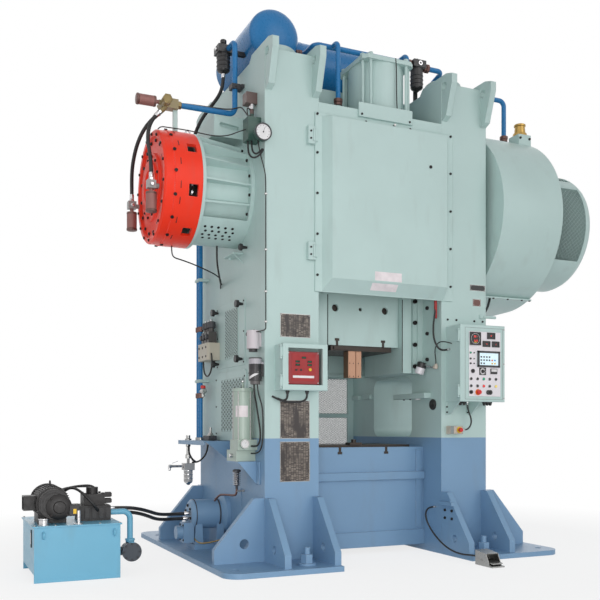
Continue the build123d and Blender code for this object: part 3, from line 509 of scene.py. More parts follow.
def pipe(name, points, r, material, resolution=8):
    """Small-bore pipe, wire or hose through a row of points, as a smooth curve."""
    curve = bpy.data.curves.new(name, "CURVE")
    curve.dimensions = "3D"
    curve.bevel_depth = 1.0             # times each point's radius, which the curve's box also uses
    curve.bevel_resolution = 3
    curve.use_fill_caps = True
    spline = curve.splines.new("NURBS")
    spline.points.add(len(points) - 1)
    for point, place in zip(spline.points, points):
        point.co = (*place, 1)
        point.radius = r
    spline.order_u = 3
    spline.use_endpoint_u = True
    spline.resolution_u = resolution
    return placed(name, curve, material, "frame")


def around_shaft(x, r, degrees):
    """Point at a radius from the shaft axis; 0 degrees is the front, 90 is up."""
    angle = radians(degrees)
    return Vector((x, SHAFT_Y - r * cos(angle), SHAFT_Z + r * sin(angle)))


def from_shaft(place):
    return Vector((0, place[1] - SHAFT_Y, place[2] - SHAFT_Z)).normalized()


def add_cell(bm, centre, along, up, pitch, hole, sides=8):
    """Square cell of sheet with a round hole."""
    outer, inner = [], []
    for k in range(sides):
        angle = 2 * pi * (k + 0.5) / sides
        out = along * cos(angle) + up * sin(angle)
        reach = pitch / 2 / max(abs(cos(angle)), abs(sin(angle)))
        outer.append(bm.verts.new(centre + out * reach))
        inner.append(bm.verts.new(centre + out * hole))
    for k in range(sides):
        bm.faces.new((outer[k - 1], outer[k], inner[k], inner[k - 1]))


def add_holed_sheet(bm, corner, along, up, columns, rows, pitch, hole):
    """Perforated sheet; each second column of holes is half a pitch higher."""
    for i in range(columns):
        foot = Vector(corner) + along * i * pitch
        odd = i % 2
        for j in range(rows - odd):
            add_cell(bm, foot + along * pitch / 2 + up * (j + (1 + odd) / 2) * pitch, along, up, pitch, hole)
        for level in (0, rows - 0.5)[:2 * odd]:
            low = foot + up * level * pitch
            ends = (low, low + along * pitch, low + along * pitch + up * pitch / 2, low + up * pitch / 2)
            bm.faces.new([bm.verts.new(p) for p in ends])


# Cords: the routes of the solids, as smooth splines

CORDS = {
    "brake_hose_a": (0.017, "medium", [
        (-1.933, -0.376, 3.982), (-1.984, -0.376, 3.931), (-2.040, -0.400, 3.835), (-2.067, -0.450, 3.705),
        (-2.069, -0.528, 3.560), (-2.067, -0.580, 3.440), (-2.067, -0.580, 3.302)]),
    "brake_hose_b": (0.017, "medium", [
        (-1.933, -0.332, 3.982), (-1.998, -0.332, 3.917), (-2.062, -0.285, 3.830), (-2.095, -0.195, 3.735),
        (-2.100, -0.085, 3.650), (-2.092, 0.025, 3.575), (-2.078, 0.105, 3.500), (-2.067, 0.150, 3.410),
        (-2.067, 0.150, 3.302)]),
    "tank_hose": (0.017, "medium", [
        (-1.262, -0.120, 4.560), (-1.262, -0.120, 4.445), (-1.278, -0.069, 4.352), (-1.322, 0.050, 4.279),
        (-1.367, 0.172, 4.211), (-1.393, 0.294, 4.132), (-1.410, 0.345, 4.039), (-1.410, 0.345, 3.933),
        (-1.358, 0.345, 3.842), (-1.267, 0.345, 3.790), (-1.160, 0.345, 3.790)]),
    "hpu_hose_a": (0.016, "medium", [
        (-2.430, -0.520, 0.520), (-2.260, -0.520, 0.520), (-2.120, -0.400, 0.490), (-2.000, -0.255, 0.450),
        (-1.900, -0.115, 0.412), (-1.798, 0.005, 0.390), (-1.680, 0.060, 0.385), (-1.528, 0.060, 0.385)]),
    "hpu_hose_b": (0.016, "medium", [
        (-2.430, -0.480, 0.480), (-2.260, -0.480, 0.480), (-2.120, -0.360, 0.450), (-2.000, -0.215, 0.405),
        (-1.900, -0.075, 0.362), (-1.798, 0.045, 0.340), (-1.680, 0.100, 0.335), (-1.528, 0.100, 0.335)]),
    "pedal_cable": (0.008, "limp", [
        (0.645, -0.820, 0.440), (0.575, -0.820, 0.440), (0.520, -0.840, 0.411), (0.490, -0.879, 0.355),
        (0.492, -0.925, 0.280), (0.508, -1.030, 0.180), (0.535, -1.165, 0.095), (0.575, -1.310, 0.055),
        (0.640, -1.440, 0.060), (0.640, -1.540, 0.060)]),
    "estop_cable": (0.007, "limp", [
        (0.890, -0.985, 1.444), (0.890, -0.985, 1.390), (0.910, -0.985, 1.338), (0.936, -0.983, 1.288),
        (0.940, -0.979, 1.236), (0.918, -0.974, 1.194), (0.884, -0.972, 1.176), (0.842, -0.972, 1.176)]),
    "lube_hose": (0.009, "medium", [
        (0.600, -0.882, 2.440), (0.600, -0.882, 2.330), (0.575, -0.895, 2.240), (0.545, -0.925, 2.150),
        (0.528, -0.954, 2.060), (0.534, -0.974, 1.992), (0.566, -0.984, 1.938), (0.620, -0.982, 1.922),
        (0.697, -0.978, 1.940)]),
}


def spline_length(obj):
    """Length of a curve's own line, read from it without its thickness."""
    line = obj.data.copy()
    line.bevel_depth = 0
    probe = bpy.data.objects.new("probe", line)
    mesh = bpy.data.meshes.new_from_object(probe)
    places = [v.co for v in mesh.vertices]
    length = sum((b - a).length for a, b in zip(places, places[1:]))
    bpy.data.objects.remove(probe)
    bpy.data.meshes.remove(mesh)
    bpy.data.curves.remove(line)
    return length


def cord(name, r, stiffness, route):
    obj = pipe(name + "_line", route, r, rubber, 12)
    return obj, dict(exit=route[0], length=spline_length(obj), diameter=2 * r, far_end="object",
                     stiffness=stiffness, lay="hanging")


def ferrules(name, r, route):
    """Crimped sleeves and hexagon nuts where a hose meets its fittings."""
    bm = bmesh.new()
    for end, inner in ((route[0], route[1]), (route[-1], route[-2])):
        end = Vector(end)
        axis = (Vector(inner) - end).normalized()
        add_lathe(bm, end + axis * 0.001, axis, [(0, r * 1.3), (r * 1.2, r * 1.3), (r * 1.3, r * 1.12)], 6)
        sleeve = [(0, r * 1.18), (r * 2.4, r * 1.18), (r * 2.6, r * 1.04)]
        add_lathe(bm, end + axis * r * 1.4, axis, sleeve, 16)
    return piece(name + "_ends", bm, polished)


for name, (r, stiffness, route) in CORDS.items():
    line, facts = cord(name, r, stiffness, route)
    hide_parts(name)
    ferrules(name, r, route)

# Thin signal cables and grease hoses that only the scene has
CABLES = {
    "sprayer_cable": (0.005, [
        (0.615, -0.865, 1.800), (0.615, -0.865, 1.840), (0.612, -0.853, 1.900), (0.612, -0.855, 1.960),
        (0.625, -0.890, 2.010), (0.655, -0.950, 2.015), (0.697, -1.010, 1.990)]),
    "monitor_cable_a": (0.009, [
        (-0.985, -1.000, 1.488), (-0.985, -1.000, 1.455), (-0.998, -0.985, 1.432), (-1.022, -0.955, 1.432),
        (-1.040, -0.912, 1.450)]),
    "monitor_cable_b": (0.009, [
        (-0.800, -1.000, 1.488), (-0.800, -1.000, 1.450), (-0.835, -0.990, 1.424), (-0.900, -0.978, 1.416),
        (-0.990, -0.972, 1.420), (-1.055, -0.955, 1.440), (-1.090, -0.912, 1.468)]),
    "brake_cable": (0.005, [
        (-1.280, -0.765, 3.790), (-1.330, -0.765, 3.770), (-1.420, -0.700, 3.735), (-1.520, -0.620, 3.745),
        (-1.620, -0.520, 3.790), (-1.720, -0.430, 3.832), (-1.860, -0.345, 3.862), (-1.925, -0.332, 3.866),
        (-1.945, -0.330, 3.838)]),
    "valve_cable": (0.006, [
        (-1.775, -0.328, 4.096), (-1.700, -0.335, 4.102), (-1.400, -0.350, 4.102), (-1.290, -0.380, 4.098),
        (-1.235, -0.425, 4.105), (-1.222, -0.500, 4.090), (-1.222, -0.600, 4.010), (-1.225, -0.690, 3.935),
        (-1.232, -0.765, 3.930), (-1.235, -0.775, 3.890)]),
    "switch_cable": (0.005, [
        (-1.228, -0.728, 3.990), (-1.250, -0.742, 3.995), (-1.268, -0.765, 3.965), (-1.268, -0.780, 3.920),
        (-1.262, -0.780, 3.890)]),
    "gauge_loop_a": (0.008, [
        (-1.262, -0.770, 3.690), (-1.262, -0.775, 3.630), (-1.260, -0.790, 3.570), (-1.240, -0.825, 3.530),
        (-1.205, -0.860, 3.535), (-1.175, -0.880, 3.570), (-1.160, -0.885, 3.600)]),
    "gauge_loop_b": (0.008, [
        (-1.235, -0.790, 3.690), (-1.235, -0.795, 3.640), (-1.232, -0.810, 3.590), (-1.215, -0.835, 3.565),
        (-1.190, -0.850, 3.575), (-1.160, -0.860, 3.610)]),
    "casing_cable": (0.006, [
        (-1.790, -0.222, 2.840), (-1.790, -0.222, 2.770), (-1.765, -0.215, 2.738), (-1.700, -0.195, 2.730),
        (-1.560, -0.130, 2.712), (-1.400, -0.020, 2.690), (-1.270, 0.060, 2.665), (-1.205, 0.110, 2.630),
        (-1.190, 0.180, 2.590), (-1.160, 0.260, 2.575)]),
    "housing_cable": (0.009, [
        (-1.360, -0.222, 2.880), (-1.360, -0.218, 2.810), (-1.340, -0.170, 2.720), (-1.280, -0.050, 2.640),
        (-1.210, 0.120, 2.600), (-1.160, 0.240, 2.610)]),
    "manifold_cable": (0.008, [
        (-1.250, 0.530, 1.866), (-1.250, 0.530, 1.800), (-1.250, 0.490, 1.735), (-1.250, 0.400, 1.705),
        (-1.250, 0.310, 1.735), (-1.252, 0.255, 1.800), (-1.255, 0.240, 1.880), (-1.255, 0.265, 1.930)]),
    "grease_hose_a": (0.008, [
        (-1.234, -0.850, 1.570), (-1.234, -0.850, 1.520), (-1.225, -0.845, 1.465), (-1.200, -0.815, 1.410),
        (-1.190, -0.810, 1.350), (-1.186, -0.840, 1.260), (-1.180, -0.862, 1.160), (-1.182, -0.860, 1.080),
        (-1.195, -0.820, 1.030), (-1.215, -0.738, 1.035)]),
    "grease_hose_b": (0.006, [
        (-1.210, -0.864, 1.570), (-1.206, -0.868, 1.510), (-1.190, -0.872, 1.450), (-1.174, -0.888, 1.380),
        (-1.170, -0.896, 1.280), (-1.170, -0.896, 1.120), (-1.178, -0.880, 1.010), (-1.190, -0.800, 0.970),
        (-1.200, -0.693, 0.970)]),
    "conduit": (0.012, [
        (1.160, -0.780, 2.290), (1.215, -0.778, 2.300), (1.300, -0.730, 2.370), (1.400, -0.640, 2.455),
        (1.460, -0.580, 2.527)]),
    "pump_hose": (0.011, [
        (-2.792, -0.560, 0.668), (-2.760, -0.580, 0.700), (-2.715, -0.640, 0.708), (-2.660, -0.705, 0.668),
        (-2.600, -0.735, 0.600), (-2.555, -0.728, 0.545), (-2.535, -0.684, 0.520)]),
    "supply_hose_a": (0.010, [
        (-1.330, 0.760, 1.030), (-1.345, 0.735, 0.990), (-1.350, 0.700, 0.930), (-1.330, 0.672, 0.880),
        (-1.290, 0.690, 0.850), (-1.270, 0.745, 0.850), (-1.284, 0.800, 0.862)]),
    "supply_hose_b": (0.009, [
        (-1.190, 0.560, 1.060), (-1.195, 0.560, 1.000), (-1.210, 0.585, 0.920), (-1.240, 0.650, 0.865),
        (-1.265, 0.725, 0.840), (-1.284, 0.800, 0.838)]),
    "pilot_hose_a": (0.007, [
        (-2.530, -0.580, 0.650), (-2.530, -0.580, 0.690), (-2.570, -0.580, 0.722), (-2.650, -0.580, 0.722),
        (-2.730, -0.580, 0.712), (-2.780, -0.580, 0.700), (-2.806, -0.580, 0.682)]),
    "pilot_hose_b": (0.007, [
        (-2.530, -0.530, 0.650), (-2.530, -0.530, 0.680), (-2.565, -0.525, 0.706), (-2.650, -0.515, 0.708),
        (-2.730, -0.505, 0.704), (-2.782, -0.500, 0.694), (-2.806, -0.500, 0.682)]),
}
for name, (r, route) in CABLES.items():
    line, facts = cord(name, r, "limp", route)


# Front door, crown and columns

def front_door():
    body = "front_door"
    places = grid(-0.666, DOOR_FLANGE_F, (3.968, 3.626, 3.268, 2.908, 2.546))
    places += grid(0.738, DOOR_FLANGE_F, (3.968, 3.614, 3.255, 2.898, 2.539))
    places += grid((-0.180, 0.289), DOOR_FLANGE_F, 3.970)
    bolts("door_bolts", places, -Y, body=body)
    lock = [(0, 0.015), (0.006, 0.015), (0.008, 0.012), (0.008, 0.006), (0.003, 0.004)]
    lathe("door_lock", (0.463, DOOR_F, 3.621), -Y, lock, bolt_black, body)
    lathe("door_knob", (0.080, DOOR_F + 0.020, 3.955), -Y, capped(0.012, 0.024, 0.009), steel, body)
    bolts("hinge_bolts", grid(-0.737, -0.948, (3.801, 3.737, 2.782, 2.718)), -Y, 0.009, 0.006)
    bm = bmesh.new()
    add_box(bm, (-0.129, DOOR_F - LABEL, 2.524), (0.151, DOOR_F, 2.605))
    down = Vector((0, 0.082, -0.109)).normalized()
    out = Vector((0, -0.109, -0.082)).normalized()
    add_slab(bm, Vector((-0.150, DOOR_F, 2.516)) + down * 0.018, X * 0.270, down * 0.075, out * LABEL)
    piece("door_plates", bm, blank_label, body)


def framed_plate(name, x0, x1, z0, z1, material):
    """Bare plate with a thin rim and corner rivets on a column front."""
    face, inset = COL_F - 0.0015, 0.012
    boxes(name, [((x0, face, z0), (x1, COL_F, z1))], material, bevel=0)
    boxes(name + "_rim", rim(x0, x1, z0, z1, 0.004, COL_F - 0.003, COL_F - 0.001), steel, bevel=0)
    corners = grid((x0 + inset, x1 - inset), face, (z0 + inset, z1 - inset))
    bolts(name + "_rivets", corners, -Y, 0.004, 0.003, steel)


def column_plates():
    framed_plate("chart_upper", -1.016, -0.728, 1.985, 2.190, chart)
    framed_plate("chart_middle", -1.018, -0.734, 1.101, 1.435, chart)
    framed_plate("chart_lower", -1.018, -0.734, 0.725, 1.075, chart)
    framed_plate("plate_black", 0.972, 1.150, 2.523, 2.580, black)
    framed_plate("plate_small", 1.005, 1.098, 2.374, 2.443, union_brown)
    bolts("panel_top_bolts", grid((0.715, 0.815, 1.022, 1.120), COL_F, 2.228), -Y, 0.010, 0.008)
    bm = bmesh.new()
    add_lathe(bm, (1.120, COL_F - 0.004, 2.274), X, capped(0.014, 0.154, 0.011), 20)
    add_box(bm, (1.085, COL_F - 0.012, 2.256), (1.125, COL_F, 2.292))
    piece("stub_bar", bm, green, bevel=0.002)
    places = grid((-COL_IN, COL_IN), (-0.976, -1.088), (0.423, 0.349))
    bolts("gusset_bolts", places, lambda p: Vector((-p[0], 0, 0)).normalized(), 0.013, 0.012)
    bm = bmesh.new()
    add_box(bm, (0.607, -1.130, 0.470), (COL_IN, -0.925, 0.504))
    add_lathe(bm, (0.626, -1.090, 0.504), Z, capped(0.012, 0.012, 0.010, 0.002), 6)
    piece("wedge_block", bm, blue, bevel=0.004)


def crown_details():
    """Nuts and drain of the balance cylinder, the filler cap on the guard, and tab bolts."""
    nuts = bmesh.new()
    for x in (-1, 1):
        for y in (-1, 1):
            for a, b in ((0.245, 0.190), (0.190, 0.245)):
                add_hex(nuts, (0.130 + a * x, -0.560 + b * y, 4.650), Z, 0.026, 0.024)
    piece("cylinder_nuts", nuts, green)
    drain = [(0.190, -0.832, 4.652), (0.195, -0.838, 4.620), (0.198, -0.838, 4.200), (0.198, -0.860, 4.150),
             (0.198, -0.925, 4.146)]
    pipe("cylinder_drain", drain, 0.005, bolt_black)
    cap = [(0, 0.078), (0.030, 0.070), (0.036, 0.058), (0.100, 0.052), (0.106, 0.060), (0.122, 0.060),
           (0.127, 0.054)]
    lathe("guard_cap", (1.859, -0.560, 4.245), Z, cap, brass)
    bolts("guard_seat_bolts", grid((1.800, 1.918), -0.640, 4.205), -Y, 0.012, 0.012)
    bolts("crown_tab_bolts", grid((-0.222, 0.282), -0.932, 4.035), -Y, 0.010, 0.008)


def rear_tank():
    """Second air tank, lying across the press behind the balance cylinder, on its stand."""
    y, z, r, dome, x0, x1 = 0.200, 4.870, 0.240, 0.110, -0.500, 0.600
    arc = [radians(3 + 87 * k / 10) for k in range(11)]
    half = [(dome * (1 - cos(t)), r * sin(t)) for t in arc]
    half += [(dome + 0.004, r), (dome + 0.007, r + 0.003), (dome + 0.013, r + 0.003), (dome + 0.016, r)]
    other = [(x1 - x0 - along, radius) for along, radius in reversed(half)]
    bm = bmesh.new()
    add_lathe(bm, (x0, y, z), X, half + other, 64)
    for x in (-0.280, 0.340):
        add_box(bm, (x, y - 0.120, TANK_FOOT), (x + 0.050, y + 0.120, z - 0.190))
        add_box(bm, (x - 0.030, y - 0.140, TANK_FOOT), (x + 0.080, y + 0.140, TANK_FOOT + 0.016))
    add_lathe(bm, (0.050, y, z + 0.230), Z, capped(0.026, 0.011, 0.020, 0.003), 8)
    piece("rear_tank", bm, tank_paint)
    wall = [((-COL_IN, -0.270, DECK), (COL_IN, -0.240, TANK_FOOT))]
    ribs = [((x, -0.240, DECK), (x + 0.030, 0.440, TANK_FOOT)) for x in (-0.270, 0.350)]
    boxes("tank_stand", wall + ribs, green, bevel=0.004)
    places = grid((-0.255, 0.365), (y - 0.128, y + 0.128), TANK_FOOT + 0.016)
    bolts("tank_feet_bolts", places, Z, 0.012, 0.012)


front_door()
column_plates()
crown_details()
rear_tank()


# Slide guides and die space

def slot_shades(name, front, face, up, body):
    """Dark steel blocks that fill the front ends of the T-slots as painted shade; up is +1 for a top face, -1
    for a bottom face.
    """
    # T-shaped dark blocks: painted shade in the slot mouths
    nuts = []
    for x in SLOT_X:
        for half, a, b in ((0.013, 0.001, 0.042), (0.024, 0.043, 0.065)):
            low, high = sorted((face - up * a, face - up * b))
            nuts.append(((x - half, front, low), (x + half, front + 0.200, high)))
    boxes(name, nuts, dark_steel, body, bevel=0)


def slide_guides():
    for side, x in (("left", -0.567), ("right", 0.567)):
        bolts("gib_bolts_" + side, grid(x, -0.562, (1.800, 2.013, 2.229, 2.439)), -Y, 0.021, 0.022)
    bolts("gib_screws", grid(COL_IN, -0.680, (1.862, 2.114, 2.363)), -X, 0.018, 0.020)
    places = grid((-0.120, -0.080, -0.025), -0.500, (1.690, 1.815))
    bolts("tool_screws", places, -Y, 0.005, 0.003, body="slide")
    # Dark steel discs in the slide's holes: painted shade in the recesses
    plugs = [((x, -0.505, 2.330), -Y, capped(r, 0.006, r * 0.8, 0.002))
             for x, r in ((-0.290, 0.033), (-0.020, 0.017), (0.250, 0.033))]
    lathes("slide_hole_shades", plugs, dark_steel, "slide")
    # Dark blocks in the T-slots of slide and bed: painted shade
    slot_shades("slide_slot_shades", -0.526, SLIDE_BOTTOM, -1, "slide")
    slot_shades("bed_slot_shades", -0.586, BED_TOP, 1, "frame")


def rear_guard():
    """Perforated screen in a tube frame that closes the back of the die space."""
    y0, y1, x0, x1, z0, z1 = 0.860, 0.900, -COL_IN, COL_IN, 0.760, 1.800
    wide, tall, pitch, hole = 0.070, 0.046, 0.020, 0.0046
    posts = [((x, y0, z0), (x + wide, y1, z1)) for x in (x0, x1 - wide)]
    rails = [((x0 + wide, y0, z), (x1 - wide, y1, z + tall)) for z in (z0, 1.313, z1 - tall)]
    boxes("rear_guard_frame", posts + rails, green, bevel=0.004)
    bm = bmesh.new()
    for foot, rows in ((z0 + 0.045, 26), (1.355, 20)):
        add_holed_sheet(bm, (x0 + wide - 0.005, y0 + 0.025, foot), X, Z, 58, rows, pitch, hole)
    piece("rear_guard_sheet", bm, sheet_grey)
    apron = [((x0, 0.460, 1.745), (x1, 0.490, 2.440)), ((x0, 0.430, 1.745), (x1, 0.460, 1.775))]
    boxes("rear_apron", apron, green, bevel=0.004)
    bars = [((x, y, 1.512), (x + 0.035, y + 0.150, 1.562)) for x in (x0, x1 - 0.035) for y in (0.680, 0.430)]
    boxes("rear_guard_bars", bars, green, bevel=0.003)
    # Black strips on the slide front: painted shade in the gaps
    gaps = [((x - 0.004, -0.6015, 1.732), (x + 0.004, -0.600, 2.440)) for x in (-0.404, 0.404)]
    boxes("slide_gap_shades", gaps, shade_and_glass_black, bevel=0)


def die_space():
    """Light bracket and port cap on the inner walls."""
    bars = [((0.568, -0.735, 1.484), (COL_IN, -0.150, 1.536)),
            ((-COL_IN, 0.050, 1.500), (-0.600, 0.300, 1.535))]
    boxes("light_bracket", bars, green, bevel=0.005)
    lens = capped(0.030, 0.014, 0.022, 0.006)
    lathe("light_lens", (0.606, -0.560, 1.484), -Z, lens, white_face)
    bolts("bracket_bolts", grid(0.606, (-0.420, -0.300), 1.484), -Z, 0.010, 0.010)
    cap = [(0, 0.052), (0.012, 0.052), (0.018, 0.046), (0.018, 0.016), (0.030, 0.014)]
    lathe("port_cap", (COL_IN, -0.775, 1.421), -X, cap, black, segments=32)


def sprayer():
    """Die sprayer on its arm, its feed, and the red sleeve of the hose above it."""
    axis = Vector((-0.20, 0.25, -0.95)).normalized()
    top = Vector((0.590, -0.672, 1.835))
    cap = [(0, 0.030), (0.008, 0.048), (0.050, 0.050), (0.054, 0.046)]
    lathe("sprayer_cap", top, axis, cap, black, segments=28)
    can = [(0, 0.045), (0.058, 0.045), (0.066, 0.038), (0.066, 0.016), (0.060, 0.012)]
    lathe("sprayer_body", top + axis * 0.054, axis, can, silver_plate)
    lathe("sprayer_arm", top + axis * 0.030, X, [(0, 0.013), (COL_IN - top.x, 0.013)], steel)
    feed = [top + axis * 0.025, (0.600, -0.740, 1.800), (0.612, -0.800, 1.778), (0.615, -0.850, 1.776)]
    pipe("sprayer_feed", feed, 0.010, polished)
    elbow = [((0.615, -0.842, 1.776), -Y, capped(0.020, 0.034, 0.014)),
             ((0.615, -0.865, 1.776), Z, [(-0.012, 0.014), (0.022, 0.016), (0.030, 0.012)])]
    lathes("sprayer_elbow", elbow, cream)
    sleeve = [(0, 0.011), (0.004, 0.0145), (0.196, 0.0145), (0.200, 0.011)]
    lathe("hose_sleeve", (0.600, -0.882, 2.236), Z, sleeve, sleeve_red)


slide_guides()
rear_guard()
die_space()
sprayer()


# Brake and its valves

def shaft_bolts(name, x, reach, start, count, axis, r, h, step=22.5):
    """Circle of bolts round the shaft axis, from a start angle."""
    bolts(name, [around_shaft(x, reach, start + step * k) for k in range(count)], axis, r, h)


def brake_details():
    """Bolts of the casing and housing, its slits and vent holes as dark marks of painted shade, and the
    lifting eye.
    """
    shaft_bolts("casing_bolts", -1.890, 0.505, 3, 16, from_shaft, 0.015, 0.010)
    shaft_bolts("face_bolts", -1.962, 0.405, 5, 16, -X, 0.015, 0.012)
    shaft_bolts("rim_bolts", -1.985, 0.462, 16, 16, -X, 0.013, 0.010)
    shaft_bolts("hub_bolts", -1.985, 0.265, 15, 12, -X, 0.012, 0.012, 30)
    shaft_bolts("flange_bolts", -1.195, 0.432, -101.25, 17, -X, 0.014, 0.012)
    # Dark slabs on the casing: painted shade in the slits
    bm = bmesh.new()
    for degrees in (58, 35, 13, -10, -25, -45, -68):
        mid = around_shaft(-1.844, 0.5052, degrees)
        out = from_shaft(mid)
        along = X.cross(out)
        add_slab(bm, mid - along * 0.030 - X * 0.003, along * 0.060, X * 0.006, out * LABEL)
    piece("casing_slit_shades", bm, shade_and_glass_black)
    # Dark cups on the housing: painted shade in the vent holes
    bm = bmesh.new()
    cup = [(0, 0.013), (LABEL, 0.013), (LABEL, 0.010), (0.0003, 0.009)]
    for row, degrees in enumerate((-52, -58, -64, -70)):
        for x in (-1.566, -1.504, -1.442, -1.376, -1.310):
            place = around_shaft(x + 0.016 * (row % 2), 0.466, degrees)
            add_lathe(bm, place, from_shaft(place), cup, 14)
    piece("housing_hole_shades", bm, shade_and_glass_black)
    eye = [(-1.665, SHAFT_Y, 3.845), (-1.665, SHAFT_Y, 3.885), (-1.640, SHAFT_Y, 3.915),
           (-1.615, SHAFT_Y, 3.885), (-1.615, SHAFT_Y, 3.845)]
    pipe("casing_eye", eye, 0.008, polished)


def silencer_caps():
    """Rolled rims and end caps of the three silencers, and nuts on the valve block."""
    low = [((-2.067, y, 3.202), -Z) for y in BRAKE_VALVE_Y]
    forms = []
    for origin, axis in [((-1.972, -0.354, VALVE_Z), -X)] + low:
        far = Vector(origin) + axis * 0.148
        forms.append((origin, axis, [(0, 0.040), (0.006, 0.0475), (0.016, 0.0475), (0.020, 0.0462)]))
        forms.append((far, axis, [(0, 0.0462), (0.004, 0.049), (0.020, 0.049), (0.0245, 0.040)]))
    lathes("silencer_rims", forms, union_brown, segments=32)
    side = [(-0.010, 0.046), (0.012, 0.046), (0.016, 0.038)]
    forms = [((-1.890, -0.454, VALVE_Z), -Y, side), ((-1.890, -0.264, VALVE_Z), Y, side),
             ((-1.775, -0.354, VALVE_Z), X, capped(0.036, 0.034, 0.030, 0.006))]
    lathes("valve_nuts", forms, dull_brass, segments=6)
    plug = [(0.028, 0.018), (0.050, 0.018), (0.054, 0.012)]
    forms = [((-2.067, y, 3.262), -Y, plug) for y in BRAKE_VALVE_Y]
    lathes("face_valve_plugs", forms, polished, segments=6)


brake_details()
silencer_caps()


# Pipe fittings, filters and gauge

def unions():
    """Two-piece hexagon unions on the blue air pipes, and sockets on the deck."""
    spots = [((-0.560, -0.200, 4.818), X), ((-0.292, -0.593, 4.215), Z), ((0.444, -0.620, 4.180), Z),
             ((0.515, -0.460, 4.818), X), ((0.727, -0.460, 4.805), X), ((1.910, -0.230, 4.300), Z)]
    bm = bmesh.new()
    for origin, axis in spots:
        nut = Vector(origin) + axis * 0.031
        add_lathe(bm, origin, axis, [(0, 0.030), (0.004, 0.040), (0.026, 0.040), (0.030, 0.036)], 8)
        add_lathe(bm, nut, axis, [(0, 0.044), (0.030, 0.044), (0.034, 0.034), (0.038, 0.028)], 8)
    piece("unions", bm, union_brown)
    foot = DECK + 0.001
    forms = [((x, y, foot), Z, [(0, 0.040), (0.020, 0.040), (0.024, 0.0265), (top - foot, 0.0265)])
             for x, y, top in ((-0.292, -0.593, 4.214), (0.444, -0.620, 4.179))]
    lathes("drop_sockets", forms, green)


def filter_bowl(x, y, z, r):
    """Drain foot and three ribs of a filter bowl, as lathe forms."""
    forms = [((x, y, z), -Z, [(-0.004, r), (0.012, r * 0.86), (0.022, r * 0.5), (0.036, r * 0.3)])]
    rib = [(0, r), (0.003, r + 0.004), (0.009, r + 0.004), (0.012, r)]
    return forms + [((x, y, z + 0.030 + 0.040 * step), Z, rib) for step in range(3)]


def filters():
    bowls = filter_bowl(-1.262, -0.120, 4.560, 0.062) + filter_bowl(0.655, -0.460, 4.590, 0.062)
    lathes("filter_bowls", bowls, black, segments=28)
    lathes("low_filter_bowl", filter_bowl(-1.330, 0.800, 0.640, 0.046), polished)
    knobs = [((-1.262, -0.120, 4.812), Z, capped(0.030, 0.036, 0.024, 0.006)),
             ((0.655, -0.460, 4.850), Z, [(0, 0.040), (0.012, 0.040), (0.016, 0.018), (0.030, 0.018)])]
    lathes("filter_knobs", knobs, black)
    bm = bmesh.new()
    add_ring(bm, (0.655, -0.531, 4.815), -Y, 0.012, 0.022, 0.006)
    add_lathe(bm, (-1.332, -0.140, 4.740), -X, capped(0.016, 0.020, 0.012), 6)
    piece("filter_screws", bm, polished)


def dial():
    """Pressure gauge face, with plain ticks and one hand, and the switch above it."""
    centre = Vector((-1.190, -0.956, 3.722))
    face = [(-0.002, 0.066), (0.0010, 0.066), (0.0012, 0.060)]
    lathe("dial_face", centre, -Y, face, white_face, segments=48)
    bm = bmesh.new()
    add_ring(bm, centre, -Y, 0.066, 0.076, 0.008, 48)
    for k in range(11):
        out, side = spoke(radians(225 - 27 * k))
        add_slab(bm, centre - Y * 0.0012 + out * 0.048 - side * 0.001, out * 0.010, side * 0.002, -Y * 0.0008)
    out, side = spoke(radians(70))
    add_slab(bm, centre - Y * 0.002 - out * 0.012 - side * 0.001, out * 0.058, side * 0.002, -Y * 0.001)
    add_lathe(bm, centre - Y * 0.001, -Y, capped(0.006, 0.005, 0.004, 0.001), 16)
    piece("dial_marks", bm, charcoal)
    bolts("switch_screws", grid(-1.262, (-0.728, -0.652), (4.052, 4.126)), -X, 0.006, 0.005, steel)
    glands = [((-1.205, -0.720, 3.985), Z, [(0, 0.020), (0.004, 0.027), (0.030, 0.027), (0.050, 0.021)]),
              ((-1.205, -0.720, 3.892), Z, capped(0.028, 0.028, 0.020, 0.006))]
    lathes("switch_gland", glands, polished, segments=8)


def riser_clamps():
    """Saddles that hold the blue risers to the left column, their joints and a shut-off valve."""
    bm = bmesh.new()
    add_box(bm, (-1.275, -0.398, 4.296), (-1.190, -0.310, 4.340))
    add_box(bm, (-1.190, -0.420, 4.305), (-COL_OUT, -0.290, 4.335))
    add_lathe(bm, (-1.232, -0.398, 4.318), -Y, capped(0.010, 0.014, 0.007, 0.002), 6)
    piece("riser_clamp", bm, charcoal, bevel=0.006)
    straps = bmesh.new()
    for z in (2.700, 1.665):
        add_box(straps, (-1.276, 0.610, z), (-COL_OUT, 0.750, z + 0.022))
        for y in RISER_Y:
            add_ring(straps, (RISER_X, y, z - 0.006), Z, 0.0225, 0.031, 0.034, 20)
    piece("riser_straps", straps, green, bevel=0.003)
    joint = [(0, 0.024), (0.004, 0.032), (0.050, 0.032), (0.054, 0.024)]
    joints = [(place, Z, joint) for place in grid(RISER_X, RISER_Y, (2.180, 1.500))]
    lathes("riser_joints", joints, union_brown, segments=8)
    body = [(-0.045, 0.020), (0.000, 0.028), (0.050, 0.028), (0.060, 0.020)]
    valve = [((RISER_X, 0.575, 1.570), -Y, body),
             ((RISER_X, 0.560, 1.560), Z, [(-0.050, 0.016), (0.035, 0.018)])]
    lathes("shutoff_valve", valve, steel, segments=12)
    knob = [(0, 0.020), (0.004, 0.026), (0.026, 0.026), (0.032, 0.020)]
    lathe("shutoff_knob", (RISER_X, 0.560, 1.596), Z, knob, signal_red, segments=16)


unions()
filters()
dial()
riser_clamps()


# Guards on the flywheel side and the back

